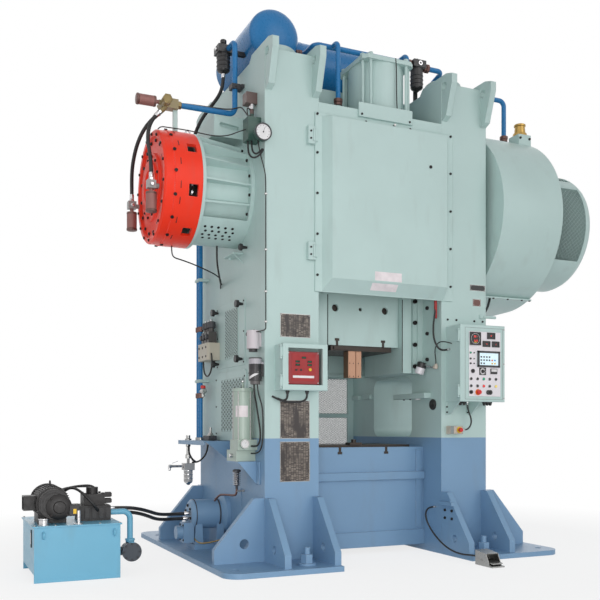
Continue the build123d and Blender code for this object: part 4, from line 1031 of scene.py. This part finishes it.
def guard_mesh():
    """Welded wire mesh in the three windows of the clutch guard."""
    r, x0, x1, wire = 0.612, 2.005, 2.500, 0.0022
    step = 0.034 * 1.414
    half = radians(39) * r
    xs = [x0 + (x1 - x0) * n / 12 for n in range(13)]
    bm = bmesh.new()
    for middle in (0, 90, 180):
        for lean in (-1, 1):
            for k in range(int((2 * half + x1 - x0) / step) + 1):
                start = k * step - half - (x1 - x0)
                line = [(x, lean * (start + x - x0)) for x in xs if abs(start + x - x0) <= half]
                ends = [around_shaft(x, r, middle + arc / r * 180 / pi) for x, arc in line]
                for one, two in zip(ends, ends[1:]):
                    out = from_shaft(one)
                    along = two - one
                    side = along.cross(out).normalized()
                    add_slab(bm, one - (side + out) * wire / 2, along, side * wire, out * wire)
    piece("guard_mesh", bm, green)
    shaft_bolts("guard_rim_bolts", 1.985, 0.620, 0, 16, from_shaft, 0.010, 0.008)
    lip = grid((1.280, 1.460, 1.640, 1.820, 1.920), -0.640, 2.523)
    bolts("guard_lip_bolts", lip, -Z, 0.011, 0.010)
    shaft_bolts("guard_face_bolts", 1.943, 0.790, 7.5, 24, X, 0.011, 0.010, 15)


def rear_details():
    """Cooling fins and fan cowl of the main motor, and the bolted cover behind the crown."""
    y, z, r, count = 1.190, 2.720, 0.190, 48
    fins = bmesh.new()
    for k in range(count):
        turn = 2 * pi * k / count
        out = Vector((0, cos(turn), sin(turn)))
        side = X.cross(out)
        foot = Vector((0.520, y, z)) + out * (r - 0.003) - side * 0.003
        add_slab(fins, foot, X * 0.580, side * 0.006, out * 0.019)
    piece("main_motor_fins", fins, cast_iron)
    cowl = bmesh.new()
    for k in range(5):
        add_ring(cowl, (0.440, y, z), -X, 0.030 + 0.024 * k, 0.040 + 0.024 * k, 0.005, 40)
    piece("main_motor_cowl", cowl, cast_iron)
    x1, z0, z1, back, edge = 0.420, 2.700, 3.850, 0.912, 0.030
    face = back + 0.012
    boxes("rear_cover", [((-x1, back, z0), (x1, face, z1))], green, bevel=0.003)
    levels = tuple(z0 + edge + (z1 - z0 - 2 * edge) * k / 6 for k in range(7))
    places = grid((edge - x1, x1 - edge), face, levels)
    places += grid((-0.195, 0.0, 0.195), face, (z0 + edge, z1 - edge))
    bolts("rear_cover_bolts", places, Y, 0.012, 0.010)


guard_mesh()
rear_details()


# Left side of the press

def side_screen(name, face, back, y, z, columns, rows, pitch, hole):
    """Perforated sheet in a side cover, and a dark sheet behind it as painted shade, at their heights off the
    column.
    """
    x = -COL_OUT
    bm = bmesh.new()
    add_holed_sheet(bm, (x - face, y, z), Y, Z, columns, rows, pitch, hole)
    piece(name + "_sheet", bm, green)
    # Dark backing sheet: painted shade behind the holes
    dark = [((x - face + 0.0015, y, z), (x - back, y + columns * pitch, z + rows * pitch))]
    boxes(name + "_back", dark, painted_shade_green, bevel=0)


def side_covers():
    side_screen("vent", 0.0165, 0.0132, -0.262, 1.858, 11, 15, 0.031, 0.0095)
    side_screen("screen", 0.0145, 0.0102, -0.430, 1.160, 15, 12, 0.042, 0.0135)
    places = grid(-COL_OUT - 0.007, (-0.415, 0.335), (1.800, 2.080, 2.360))
    places += grid(-COL_OUT - 0.010, (-0.445, 0.360), (1.140, 1.405, 1.670))
    bolts("cover_screws", places, -X, 0.008, 0.005)


def side_fittings():
    """Knobs, tubes and brackets on the column side."""
    x = -COL_OUT
    knob = [(0, 0.006), (0.030, 0.006), (0.032, 0.018), (0.052, 0.018), (0.056, 0.013)]
    lathe("cup_knob", (x, -0.610, 2.030), -X, knob, black)
    tube = [(-1.185, -0.610, 2.024), (-1.185, -0.612, 1.960), (-1.190, -0.640, 1.895),
            (-1.200, -0.690, 1.868), (-1.212, -0.765, 1.868)]
    pipe("cup_tube", tube, 0.0065, polished)
    bm = bmesh.new()
    for k in range(8):
        turn = radians(188 + 11 * k)
        out = Vector((cos(turn), sin(turn), 0))
        along = Vector((-sin(turn), cos(turn), 0.45))
        foot = Vector((-1.224, -0.852, 1.612 + 0.0055 * k)) + out * 0.0562
        add_slab(bm, foot, along * 0.0112, Z * 0.022, out * 0.0008)
    piece("pump_sash", bm, white_face)
    bm = bmesh.new()
    add_box(bm, (x - 0.100, -0.380, 2.790), (x, -0.100, 2.802))
    add_slab(bm, (x, -0.380, 2.700), Vector((-0.095, 0, 0.090)), Y * 0.010, Z * 0.008)
    add_lathe(bm, (x - 0.050, -0.160, 2.790), -Z, capped(0.020, 0.018, 0.012, 0.006), 16)
    piece("brake_bracket", bm, green, bevel=0.002)
    knob = [(0, 0.010), (0.045, 0.018), (0.050, 0.032), (0.070, 0.032), (0.078, 0.024)]
    lathe("bracket_knob", (x, -0.480, 2.830), -X, knob, black)
    lube_x, lube_y = -1.152, -0.918
    down = [(lube_x, lube_y, z) for z in (3.300, 3.000, 2.080, 2.040)]
    route = [(-1.222, -0.900, 3.690), (-1.215, -0.925, 3.560), (-1.160, -0.922, 3.400), *down,
             (-1.185, -0.900, 2.030), (-1.215, -0.850, 2.020), (-1.224, -0.820, 2.045)]
    pipe("lube_pipe", route, 0.0045, bolt_black)
    clips = [((-1.164, -0.923, z), (-1.140, COL_F, z + 0.016)) for z in (3.200, 2.720, 2.360, 2.100)]
    boxes("lube_clips", clips, steel)
    boxes("oval_cover", [((x - 0.006, -0.345, 0.330), (x, -0.235, 0.640))], blue, bevel=0.003)
    places = grid(x - 0.006, (-0.330, -0.250), (0.345, 0.625))
    bolts("oval_screws", places, -X, 0.007, 0.005, blue)


def manifold_details():
    """Solenoids, cable plugs and ports on the valve manifold."""
    coil = [(0, 0.034), (0.004, 0.040), (0.060, 0.040), (0.066, 0.030)]
    solenoids, plugs = [], []
    for y in (0.331, 0.416, 0.501):
        solenoids.append(((-1.230, y, 2.186), Z, coil))
        solenoids.append(((-1.270, y, 2.100), -X, capped(0.026, 0.026, 0.018, 0.006)))
        plugs.append(((-1.230, y, 2.252), Z, capped(0.014, 0.022, 0.010)))
    lathes("solenoids", solenoids, charcoal, segments=20)
    lathes("solenoid_plugs", plugs, polished, segments=6)
    bolts("manifold_ports", grid(-1.293, (0.320, 0.430, 0.540), (1.905, 1.995)), -X, 0.012, 0.004)
    forms = [((-1.230, 0.590, 1.960), Y, [(0, 0.024), (0.030, 0.024), (0.036, 0.016), (0.055, 0.014)]),
             ((RISER_X, RISER_Y[0], 1.985), Z, [(-0.030, 0.028), (0.030, 0.028), (0.034, 0.022)])]
    lathes("manifold_union", forms, union_brown, segments=8)


def shelf_items():
    """Small air-line fittings on and under the side shelf."""
    socket = capped(0.032, 0.032, 0.024)
    valve = [(0, 0.040), (0.050, 0.040), (0.056, 0.030), (0.090, 0.012), (0.130, 0.012)]
    forms = [((-1.330, 0.800, 1.070), Z, [(0, 0.034), (0.014, 0.034), (0.020, 0.022), (0.050, 0.022)])]
    forms += [(place, Z, socket) for place in grid(RISER_X, RISER_Y, 1.068)]
    forms += [((-1.250, 0.300, 1.070), Z, valve)]
    lathes("shelf_fittings", forms, steel, segments=16)
    neck = [(0, 0.030), (0.040, 0.030), (0.046, 0.020), (0.120, 0.018), (0.126, 0.026), (0.180, 0.026)]
    forms = [((-1.330, 0.760, 1.060), -Z, [(0, 0.020), (0.018, 0.020), (0.022, 0.014), (0.034, 0.014)]),
             ((-1.190, 0.560, 1.060), -Z, [(0, 0.018), (0.016, 0.018), (0.020, 0.013), (0.032, 0.013)]),
             ((-1.330, 0.800, 0.880), Z, neck)]
    lathes("shelf_unions", forms, steel, segments=8)
    boxes("shelf_valve", [((-1.290, 0.240, 1.071), (-1.205, 0.420, 1.120))], charcoal, bevel=0.006)
    bolts("shelf_screws", grid(-COL_OUT, (0.020, 0.130), 1.092), -X, 0.009, 0.006)
    tap = bmesh.new()
    spout = [(0, 0.020), (0.020, 0.020), (0.024, 0.014), (0.130, 0.014), (0.134, 0.019), (0.160, 0.019),
             (0.164, 0.014)]
    add_lathe(tap, (-1.376, 0.800, 0.801), -X, spout, 16)
    add_lathe(tap, (-1.530, 0.800, 0.806), -Z, capped(0.014, 0.050, 0.010, 0.005), 16)
    add_slab(tap, (-1.500, 0.794, 0.830), Vector((0.060, 0, 0.022)), Y * 0.012, Z * 0.005)
    piece("air_tap", tap, polished)


def breather():
    """Coil-guarded breather and its foot pipe on the column side."""
    x, y, r, steps = -1.235, -0.414, 0.034, 84
    coil = []
    for step in range(steps + 1):
        turn = radians(30 * step)
        coil.append((x + r * cos(turn), y + r * sin(turn), 0.672 + 0.130 * step / steps))
    pipe("breather_coil", coil, 0.0042, polished)
    core = [(0, 0.012), (0.026, 0.012), (0.030, 0.022), (0.150, 0.022), (0.156, 0.038), (0.172, 0.038),
            (0.178, 0.026)]
    lathe("breather_core", (x, y, 0.640), Z, core, charcoal)
    foot = [(x, y, 0.645), (x, y, 0.590), (-1.245, -0.360, 0.575), (-1.270, -0.180, 0.572),
            (-1.290, -0.060, 0.560), (-1.300, 0.020, 0.500)]
    pipe("breather_foot", foot, 0.010, union_brown)
    boxes("breather_clip", [((-1.240, -0.422, 0.612), (-COL_OUT, -0.406, 0.630))], steel)


def knockout_details():
    """Drain, bolts and bands of the knockout drive."""
    y, z = 0.127, 0.370
    drain = [(-1.505, 0.000, 0.150), (-1.500, -0.060, 0.120), (-1.440, -0.110, 0.115),
             (-1.330, -0.200, 0.150), (-1.230, -0.330, 0.210), (-1.166, -0.420, 0.225)]
    pipe("drain_line", drain, 0.006, brass)
    bolts("knockout_bolts", circle((-1.528, y, z), 0.085, range(20, 380, 60), Y, Z), -X, 0.014, 0.012)
    bolts("knockout_feet", grid(-1.600, (0.050, 0.150), (0.135, 0.275)), -X, 0.010, 0.008)
    bm = bmesh.new()
    for x, outer, h in ((-1.245, 0.146, 0.012), (-1.480, 0.144, 0.008)):
        add_ring(bm, (x, y, z), -X, 0.1402, outer, h, 48)
    piece("knockout_bands", bm, charcoal)


def grease_details():
    """Label, rods, gauge and fittings of the grease unit."""
    x, y = -1.256, -0.633
    bm = bmesh.new()
    edge = circle((x, y, 1.290), 0.0846, range(200, 290, 9), X, Y)
    for one, two in zip(edge, edge[1:]):
        bm.faces.new([bm.verts.new(p) for p in (one, two, two + Z * 0.100, one + Z * 0.100)])
    piece("grease_label", bm, blank_label)
    feet = circle((x, y, 1.092), 0.088, (150, 222, 300), X, Y)
    lathes("grease_rods", [(foot, Z, [(0, 0.006), (0.424, 0.006)]) for foot in feet], steel, segments=10)
    face = Vector((x - 0.030, y - 0.132, 1.055))
    bm = bmesh.new()
    add_ring(bm, face, -Y, 0.032, 0.040, 0.006, 32)
    add_slab(bm, face - Y * 0.002, Vector((0.012, 0, 0.020)), Vector((0.002, 0, -0.001)), -Y * 0.001)
    piece("grease_gauge_rim", bm, steel)
    disc = [(0, 0.033), (0.0012, 0.033), (0.0014, 0.030)]
    lathe("grease_gauge_face", face, -Y, disc, white_face, segments=32)
    forms = [((-1.230, -0.443, 0.950), Y, [(0, 0.022), (0.030, 0.022), (0.036, 0.014), (0.060, 0.012)]),
             ((-1.341, -0.600, 0.950), -X, capped(0.018, 0.030, 0.012, 0.005)),
             ((x, y, 1.598), Z, [(0, 0.009), (0.004, 0.014), (0.012, 0.014)])]
    lathes("grease_fittings", forms, polished, segments=12)
    bolts("grease_lid_bolts", circle((x, y, 1.545), 0.080, range(0, 360, 60), X, Y), Z, 0.007, 0.007)
    bolts("foot_screws", grid(-COL_OUT, -0.770, (0.740, 0.850)), -X, 0.009, 0.006)
    boxes("foot_plate", [((-1.172, -0.812, 0.700), (-COL_OUT, -0.742, 0.900))], blue, bevel=0.003)


side_covers()
side_fittings()
manifold_details()
shelf_items()
breather()
knockout_details()
grease_details()


# Operator's panel, stop station and load monitor

SEGMENTS = {"a": (0, 1, 1), "b": (1, 0.5, 0), "c": (1, -0.5, 0), "d": (0, -1, 1), "e": (-1, -0.5, 0),
            "f": (-1, 0.5, 0), "g": (0, 0, 1)}
DIGITS = {0: "abcdef", 1: "bc", 2: "abdeg", 3: "abcdg", 5: "acdfg", 8: "abcdefg"}


def add_digit(bm, place, height, number):
    """Seven-segment digit standing off a face that looks forward."""
    half, t = height / 2, height * 0.12
    for letter in DIGITS[number]:
        sx, sz, flat = SEGMENTS[letter]
        centre = Vector(place) + Vector((sx * half * 0.5, 0, sz * half))
        w, h = (half * 0.42, t / 2) if flat else (t / 2, half * 0.42)
        add_box(bm, centre - Vector((w, 0, h)), centre + Vector((w, -0.0006, h)))


def meter(name, x0, x1, z0, z1, face, numbers, height):
    """Black instrument with a bezel, a sunk window and red figures."""
    bezel = rim(x0, x1, z0, z1, 0.008, face - 0.010, face)
    window = [((x0, face - 0.005, z0), (x1, face, z1))]
    boxes(name, bezel + window, black, "panel_door", bevel=0.0015)
    bm = bmesh.new()
    for row, number in enumerate(numbers):
        z = z1 - (z1 - z0) * (row + 1) / (len(numbers) + 1)
        for k, figure in enumerate(number):
            x = (x0 + x1) / 2 + (k - (len(number) - 1) / 2) * height * 0.85
            add_digit(bm, (x, face - 0.0052, z), height, figure)
    piece(name + "_figures", bm, digits_red, "panel_door")


def push_button(place, r=0.013):
    """Ring and cap of a flush button, as lathe forms."""
    ring = (place, -Y, [(0, r * 1.25), (0.004, r * 1.25), (0.006, r * 1.1), (0.006, r * 0.95)])
    cap = (place, -Y, [(0.002, r * 0.92), (0.011, r * 0.92), (0.013, r * 0.75)])
    return ring, cap


def panel_sheet():
    """Brushed sheet over the door plate, open round the stop button."""
    x0, x1, z0, z1 = 0.783, 1.143, 1.491, 2.095
    hx, hz, half = 0.884, 1.529, 0.024
    strips = [(x0, hz + half, x1, z1), (x0, z0, x1, hz - half), (x0, hz - half, hx - half, hz + half),
              (hx + half, hz - half, x1, hz + half)]
    sheet = [((a, SHEET_F, b), (c, PANEL_F, d)) for a, b, c, d in strips]
    boxes("panel_sheet", sheet, silver_plate, "panel_door", 0)
    bm = bmesh.new()
    add_ring(bm, (hx, SHEET_F, hz), -Y, 0.0135, 0.029, 0.003, 32)
    piece("stop_collar", bm, orange, "panel_door")
    line = rim(0.742, 1.172, 1.462, 2.132, 0.003, -1.1562, -1.155)
    boxes("panel_frame_line", line, sheet_grey, "panel_door", 0)


def panel_buttons():
    """Two rows of push-buttons and the small lamps beside the screen."""
    y = SHEET_F
    caps = {black: [], lens_green: [], lens_red: [], lens_yellow: []}
    rings = []
    spots = []
    for z, special in ((1.653, {2: lens_green}), (1.587, {2: lens_red, 4: lens_yellow})):
        for k, x in enumerate((0.804, 0.876, 0.946, 1.014, 1.086)):
            spots.append(((x, y, z), 0.013, special.get(k, black)))
    for x, r, top in ((0.798, 0.009, lens_green), (0.837, 0.006, black)):
        spots += [((x, y, z), r, lens) for z, lens in ((1.895, top), (1.840, black), (1.796, black))]
    for place, r, lens in spots:
        ring, cap = push_button(place, r)
        rings.append(ring)
        caps[lens].append(cap)
    lathes("button_rings", rings, polished, "panel_door")
    for lens, forms in caps.items():
        lathes("button_caps_" + lens.name, forms, lens, "panel_door")


def panel_knobs():
    """Selector knobs, dial, twin switch and small display, with their white marks."""
    y = SHEET_F
    dial_x, dial_y, dial_z = 0.936, y - 0.003, 1.725
    knobs = bmesh.new()
    for x, z, r in ((0.824, 1.725, 0.016), (0.804, 1.529, 0.015)):
        add_lathe(knobs, (x, y, z), -Y, [(0, r * 1.2), (0.006, r * 1.2), (0.008, r), (0.014, r)])
        add_slab(knobs, (x - 0.004, y - 0.014, z - r), X * 0.008, Z * 2 * r, -Y * 0.010)
    add_box(knobs, (0.898, dial_y, 1.690), (0.974, y, 1.760))
    add_lathe(knobs, (dial_x, dial_y, dial_z), -Y, [(0.002, 0.016), (0.020, 0.014), (0.022, 0.011)])
    for x in (1.000, 1.022):
        add_lathe(knobs, (x, y, 1.529), -Y, capped(0.022, 0.014, 0.017))
    add_box(knobs, (1.026, y - 0.008, 1.702), (1.100, y, 1.752))
    piece("panel_knobs", knobs, black, "panel_door")
    bm = bmesh.new()
    for place in circle((dial_x, dial_y, dial_z), 0.0305, range(0, 360, 30), X, Z):
        add_box(bm, place - Vector((0.002, 0.0008, 0.002)), place + Vector((0.002, 0, 0.002)))
    add_ring(bm, (dial_x, dial_y, dial_z), -Y, 0.018, 0.027, 0.001, 32)
    add_box(bm, (1.032, y - 0.0095, 1.724), (1.094, y - 0.008, 1.748))
    add_box(bm, (0.935, y - 0.0262, 1.728), (0.937, y - 0.025, 1.737))
    piece("panel_marks", bm, white_face, "panel_door")


def panel_screen():
    """Touch screen with plain tiles, the counter and three meters."""
    body, front, b = "panel_door", -1.167, 0.018
    x0, x1, z0, z1 = 0.872, 1.129, 1.765, 1.915
    over = 0.001
    strips = [(x0 - over, z0 - over, x1 + over, z0 + b), (x0 - over, z1 - b, x1 + over, z1 + over),
              (x0 - over, z0, x0 + b * 1.4, z1), (x1 - b, z0, x1 + over, z1)]
    bezel = [((p, front - 0.004, q), (r, front, s)) for p, q, r, s in strips]
    boxes("screen_bezel", bezel, charcoal, body, bevel=0.001)
    glass = [((x0 + b, front - 0.001, z0 + b), (x1 - b, front, z1 - b))]
    boxes("screen_glass", glass, screen_blue, body, 0)
    letters = {"b": tile_blue, "o": orange, "c": charcoal, "y": yellow}
    tiles = {kind: [] for kind in letters.values()}
    for row, names in enumerate(("cccc..", "ccccob", "cc..yy")):
        for k, letter in enumerate(names):
            if letter in letters:
                x, z = x0 + 0.045 + 0.031 * k, z1 - 0.055 - 0.030 * row
                corners = ((x - 0.009, front - 0.0016, z - 0.007), (x + 0.009, front - 0.001, z + 0.007))
                tiles[letters[letter]].append(corners)
    for kind, corners in tiles.items():
        boxes("tiles_" + kind.name, corners, kind, body, 0)
    meter("counter", 0.789, 0.910, 1.967, 2.088, -1.165, ((8, 0, 1), (1, 5, 2, 0)), 0.015)
    boxes("counter_bar", [((0.835, -1.1712, 1.990), (0.866, -1.1702, 1.996))], yellow, body, bevel=0)
    bm = bmesh.new()
    add_ring(bm, (0.8495, -1.1702, 2.0275), -Y, 0.047, 0.049, 0.0008, 40)
    piece("counter_ring", bm, silver_plate, body)
    meter("meter_top", 0.987, 1.077, 2.030, 2.090, SHEET_F, ((3, 0),), 0.010)
    meter("meter_left", 0.936, 1.020, 1.955, 2.010, SHEET_F, ((1, 2),), 0.010)
    meter("meter_right", 1.042, 1.126, 1.955, 2.010, SHEET_F, ((1, 5),), 0.010)


def panel_under():
    """Cable glands under the panel, bracket bolts and lid screws."""
    gland = [(0, 0.019), (0.012, 0.019), (0.016, 0.015), (0.030, 0.013), (0.034, 0.009)]
    places = grid((0.735, 0.799, 0.842, 1.075, 1.110, 1.145), -1.000, 1.444)
    lathes("panel_glands", [(place, -Z, gland) for place in places], black, segments=12)
    bolts("panel_bracket_bolts", grid((0.701, 0.938), -0.920, (1.395, 1.345)), -Y, 0.008, 0.007)
    places = grid(1.186, -1.155, (1.475, 1.800, 2.125))
    bolts("panel_lid_screws", places, -Y, 0.007, 0.004, steel, "panel_door")


def station_details():
    bm = bmesh.new()
    add_ring(bm, (0.797, -0.988, 1.176), -Y, 0.0135, 0.030, LABEL, 32)
    piece("station_collar", bm, yellow)
    cover = [((0.7005, -0.9855, 1.139), (0.738, -0.984, 1.213))]
    boxes("station_cover", cover, sheet_grey, bevel=0)
    bolts("station_screws", grid((0.754, 0.836), -0.984, (1.145, 1.207)), -Y, 0.004, 0.002, steel)


def monitor_details():
    """Windows, buttons and bare strip on the red load monitor."""
    y = -1.070
    plate = y - 0.002
    windows = [(-0.921, 1.762), (-0.862, 1.796), (-0.808, 1.762), (-0.921, 1.734), (-0.808, 1.734)]
    red_face = [((-0.978, plate, 1.595), (-0.752, y, 1.832))]
    boxes("monitor_plate", red_face, sleeve_red, bevel=0.001)
    panes = [((x - 0.021, y - 0.0035, z - 0.009), (x + 0.021, plate, z + 0.009)) for x, z in windows]
    boxes("monitor_windows", panes, shade_and_glass_black, bevel=0)
    bm = bmesh.new()
    for x, z in windows:
        for k in (-1, 0, 1):
            add_digit(bm, (x + 0.011 * k, y - 0.0035, z), 0.009, 0)
    piece("monitor_figures", bm, lens_green)
    cap = capped(0.009, 0.008, 0.006, 0.002)
    buttons = ((-0.934, 1.690), (-0.890, 1.691))
    lathes("monitor_buttons", [((x, plate, z), -Y, cap) for x, z in buttons], black)
    lathe("monitor_key", (-0.805, plate, 1.694), -Y, capped(0.013, 0.011, 0.009, 0.003), yellow)
    boxes("monitor_strip", [((-0.966, y - 0.003, 1.622), (-0.766, plate, 1.642))], white_face, bevel=0)
    bolts("monitor_screws", grid((-1.005, -0.728), y, (1.580, 1.835)), -Y, 0.006, 0.004, steel)
    gland = [(0, 0.018), (0.012, 0.018), (0.016, 0.014), (0.030, 0.012)]
    glands = [(place, -Z, gland) for place in grid((-0.985, -0.800), -1.000, 1.517)]
    lathes("monitor_glands", glands, black, segments=12)


panel_sheet()
panel_buttons()
panel_knobs()
panel_screen()
panel_under()
station_details()
monitor_details()


# Hydraulic power unit and foot pedal

def motor_details():
    """Fins, cowl, bell and boxes of the pump motor."""
    motor, count = Vector((-2.900, 0, 0.596)), 44
    fins = bmesh.new()
    for k in range(count):
        out, side = spoke(2 * pi * k / count)
        if out.z > -0.75:
            foot = motor + out * 0.126 - side * 0.0018 - Y * 0.745
            add_slab(fins, foot, Y * 0.290, side * 0.0036, out * 0.012)
    piece("motor_fins", fins, motor_black)
    cowl = bmesh.new()
    for r in (0.030, 0.052, 0.074, 0.096):
        add_ring(cowl, motor - Y * 0.822, -Y, r, r + 0.006, 0.004, 32)
    piece("motor_cowl", cowl, black)
    eye = [(motor.x, y, z) for y, z in ((-0.598, 0.720), (-0.602, 0.752), (-0.585, 0.768), (-0.568, 0.752),
                                        (-0.572, 0.720))]
    pipe("motor_eye", eye, 0.007, black)
    bell = [(-0.002, 0.100), (0.012, 0.098), (0.030, 0.078), (0.034, 0.050), (0.050, 0.044), (0.052, 0.030)]
    lathe("motor_bell", (-2.862, -0.822, 0.572), -Y, bell, motor_black, segments=36)
    bolts("bell_bolts", circle((-2.862, -0.840, 0.572), 0.086, range(45, 405, 90), X, Z), -Y, 0.010, 0.012)
    case = [((-2.792, -0.850, 0.500), (-2.706, -0.760, 0.592)),
            ((-2.786, -0.856, 0.506), (-2.712, -0.850, 0.586))]
    boxes("junction_box", case, black, bevel=0.004)
    boxes("motor_tag", [((-2.758, -0.8572, 0.518), (-2.734, -0.856, 0.556))], yellow, bevel=0)
    boxes("terminal_lid", [((-3.1150, -0.692, 0.549), (-3.1090, -0.578, 0.648))], black)
    bolts("terminal_screws", grid(-3.111, (-0.682, -0.588), (0.558, 0.639)), -X, 0.005, 0.003, steel)


def stack_details():
    """Ribs, bolts and coils of the valve stack."""
    ribs = [((-2.640 + 0.057 * k, -0.684, 0.455), (-2.600 + 0.057 * k, -0.680, 0.545)) for k in range(4)]
    boxes("stack_ribs", ribs, black)
    bolts("stack_bolts", grid((-2.625, -2.485), (-0.625, -0.485), 0.650), Z, 0.010, 0.012)
    coil = [(-0.050, 0.022), (-0.004, 0.022), (0, 0.014)]
    lathes("stack_coils", [(place, X, coil) for place in grid(-2.405, -0.570, (0.590, 0.640))], black)


def tank_details():
    """Filler, level pipe, sight glass, hooks and bolts of the oil tank and its strainer."""
    lid = 0.437
    cap = [(0, 0.046), (0.006, 0.046), (0.008, 0.036), (0.040, 0.036), (0.044, 0.040), (0.052, 0.040),
           (0.056, 0.034)]
    lathe("filler_cap", (-2.981, -0.845, lid), Z, cap, polished)
    level = [(0, 0.040), (0.006, 0.040), (0.008, 0.015), (0.104, 0.015), (0.108, 0.012)]
    lathe("level_pipe", (-2.716, -0.855, lid), Z, level, polished)
    sight = [((-3.068, -0.772, 0.258), (-3.061, -0.740, 0.396))]
    boxes("sight_frame", sight, bolt_black)
    boxes("sight_glass", [((-3.070, -0.764, 0.285), (-3.066, -0.748, 0.370))], white_face, bevel=0)
    hook = ((-0.915, 0.388), (-0.936, 0.388), (-0.941, 0.365), (-0.936, 0.342), (-0.915, 0.342))
    for k, x in enumerate((-2.990, -2.448)):
        pipe(f"tank_hook_{k}", [(x, y, z) for y, z in hook], 0.009, cyan)
    places = grid((-3.055, -2.900, -2.560, -2.406), (-0.908, -0.147), lid)
    bolts("tank_lid_bolts", places, Z, 0.008, 0.007, steel)
    places = circle((-2.262, -0.722, 0.170), 0.066, range(0, 360, 45), X, Z)
    bolts("strainer_bolts", places, -Y, 0.008, 0.007, charcoal)
    flange = [(-0.004, 0.040), (0.010, 0.040), (0.014, 0.028)]
    lathe("return_flange", (-2.262, -0.640, 0.262), Z, flange, cyan)


def pedal_details():
    treads = []
    for k in range(5):
        y, z = 0.024 * k - 1.762, 0.0365 + 0.0018 * k
        treads.append(((0.593, y, z), (0.687, y + 0.008, z + 0.002)))
    boxes("pedal_treads", treads, black, "pedal", bevel=0)
    bolts("pedal_pins", [(0.576, -1.630, 0.050)], -X, 0.009, 0.006, steel)


motor_details()
stack_details()
tank_details()
pedal_details()


# Stage, light and camera

def background_rays(tree):
    """1 for rays that see the plain background: the camera's, and those off or through the object."""
    path = tree.nodes.new("ShaderNodeLightPath")
    value = path.outputs["Is Camera Ray"]
    for kind in ("Is Glossy Ray", "Is Transmission Ray"):
        most = tree.nodes.new("ShaderNodeMath")
        most.operation = "MAXIMUM"
        tree.links.new(value, most.inputs[0])
        tree.links.new(path.outputs[kind], most.inputs[1])
        value = most.outputs["Value"]
    return value


def floor():
    """White floor that keeps the object's shadow near it and fades to plain white further out."""
    bm = bmesh.new()
    add_box(bm, (-60, -60, -0.1), (60, 60, -0.0005))
    mesh = bpy.data.meshes.new("floor")
    bm.to_mesh(mesh)
    bm.free()
    obj = bpy.data.objects.new("floor", mesh)
    bpy.context.scene.collection.objects.link(obj)
    g = Graph("floor_white")
    tone = g.mix(g.ramp(g.noise(0.8, 3.0), 0.3, 0.7), (0.90, 0.90, 0.90), (0.92, 0.92, 0.92))
    g.link(tone, g.shader.inputs["Base Color"])
    g.set(Roughness=0.8)
    backdrop = g.node("ShaderNodeEmission")
    away = g.node("ShaderNodeVectorMath", operation="LENGTH")
    g.link(g.coords, away.inputs[0])
    fade = g.ramp(away.outputs["Value"], 3.0, 5.5, 0.78, 1.0)
    blend = g.node("ShaderNodeMixShader")
    g.link(g.math("MULTIPLY", background_rays(g.tree), fade), blend.inputs["Fac"])
    g.link(g.shader.outputs["BSDF"], blend.inputs[1])
    g.link(backdrop.outputs["Emission"], blend.inputs[2])
    g.link(blend.outputs["Shader"], g.tree.nodes["Material Output"].inputs["Surface"])
    mesh.materials.append(g.material)


def world():
    """Even sky light, which the background rays see as plain white."""
    made = bpy.data.worlds.new("studio")
    made.use_nodes = True
    tree = made.node_tree
    sky = tree.nodes["Background"]
    sky.inputs["Color"].default_value = (0.94, 0.97, 1.0, 1)
    sky.inputs["Strength"].default_value = 0.35
    plain = tree.nodes.new("ShaderNodeBackground")
    plain.inputs["Color"].default_value = (1, 1, 1, 1)
    blend = tree.nodes.new("ShaderNodeMixShader")
    tree.links.new(background_rays(tree), blend.inputs["Fac"])
    tree.links.new(sky.outputs["Background"], blend.inputs[1])
    tree.links.new(plain.outputs["Background"], blend.inputs[2])
    tree.links.new(blend.outputs["Shader"], tree.nodes["World Output"].inputs["Surface"])
    bpy.context.scene.world = made


def lamp(name, kind, power, place, towards):
    """Lamp at a place, shining back along a direction."""
    data = bpy.data.lights.new(name, kind)
    data.energy = power
    obj = bpy.data.objects.new(name, data)
    obj.location = place
    obj.rotation_euler = towards.to_track_quat("Z", "Y").to_euler()
    bpy.context.scene.collection.objects.link(obj)
    return data


def sun(name, towards, power, softness):
    """Wide soft light from a direction, the same at every height."""
    lamp(name, "SUN", power, Vector(towards) * 10, Vector(towards)).angle = radians(softness)


def flash(place, target, size, power):
    """Large soft lamp near the camera, which reaches into the die space."""
    lamp("flash", "AREA", power, place, Vector(place) - Vector(target)).size = size


def camera():
    data = bpy.data.cameras.new("camera")
    data.lens = 49.67
    data.sensor_width = 36.0
    data.shift_y = 0.215
    data.clip_end = 200
    obj = bpy.data.objects.new("camera", data)
    obj.location = (-3.810, -7.524, 1.185)
    obj.rotation_euler = (radians(90), 0, radians(-24.28))
    bpy.context.scene.collection.objects.link(obj)
    bpy.context.scene.camera = obj


floor()
world()
sun("key", (0.30, -0.90, 0.32), 0.62, 40)
sun("fill", (-0.80, -0.45, 0.40), 0.33, 60)
sun("back", (0.40, 0.85, 0.40), 0.45, 60)
flash((-3.600, -7.400, 1.250), (0, -0.5, 1.7), 2.4, 145)
camera()
bpy.context.scene.view_settings.view_transform = "Standard"

bpy.context.view_layer.update()
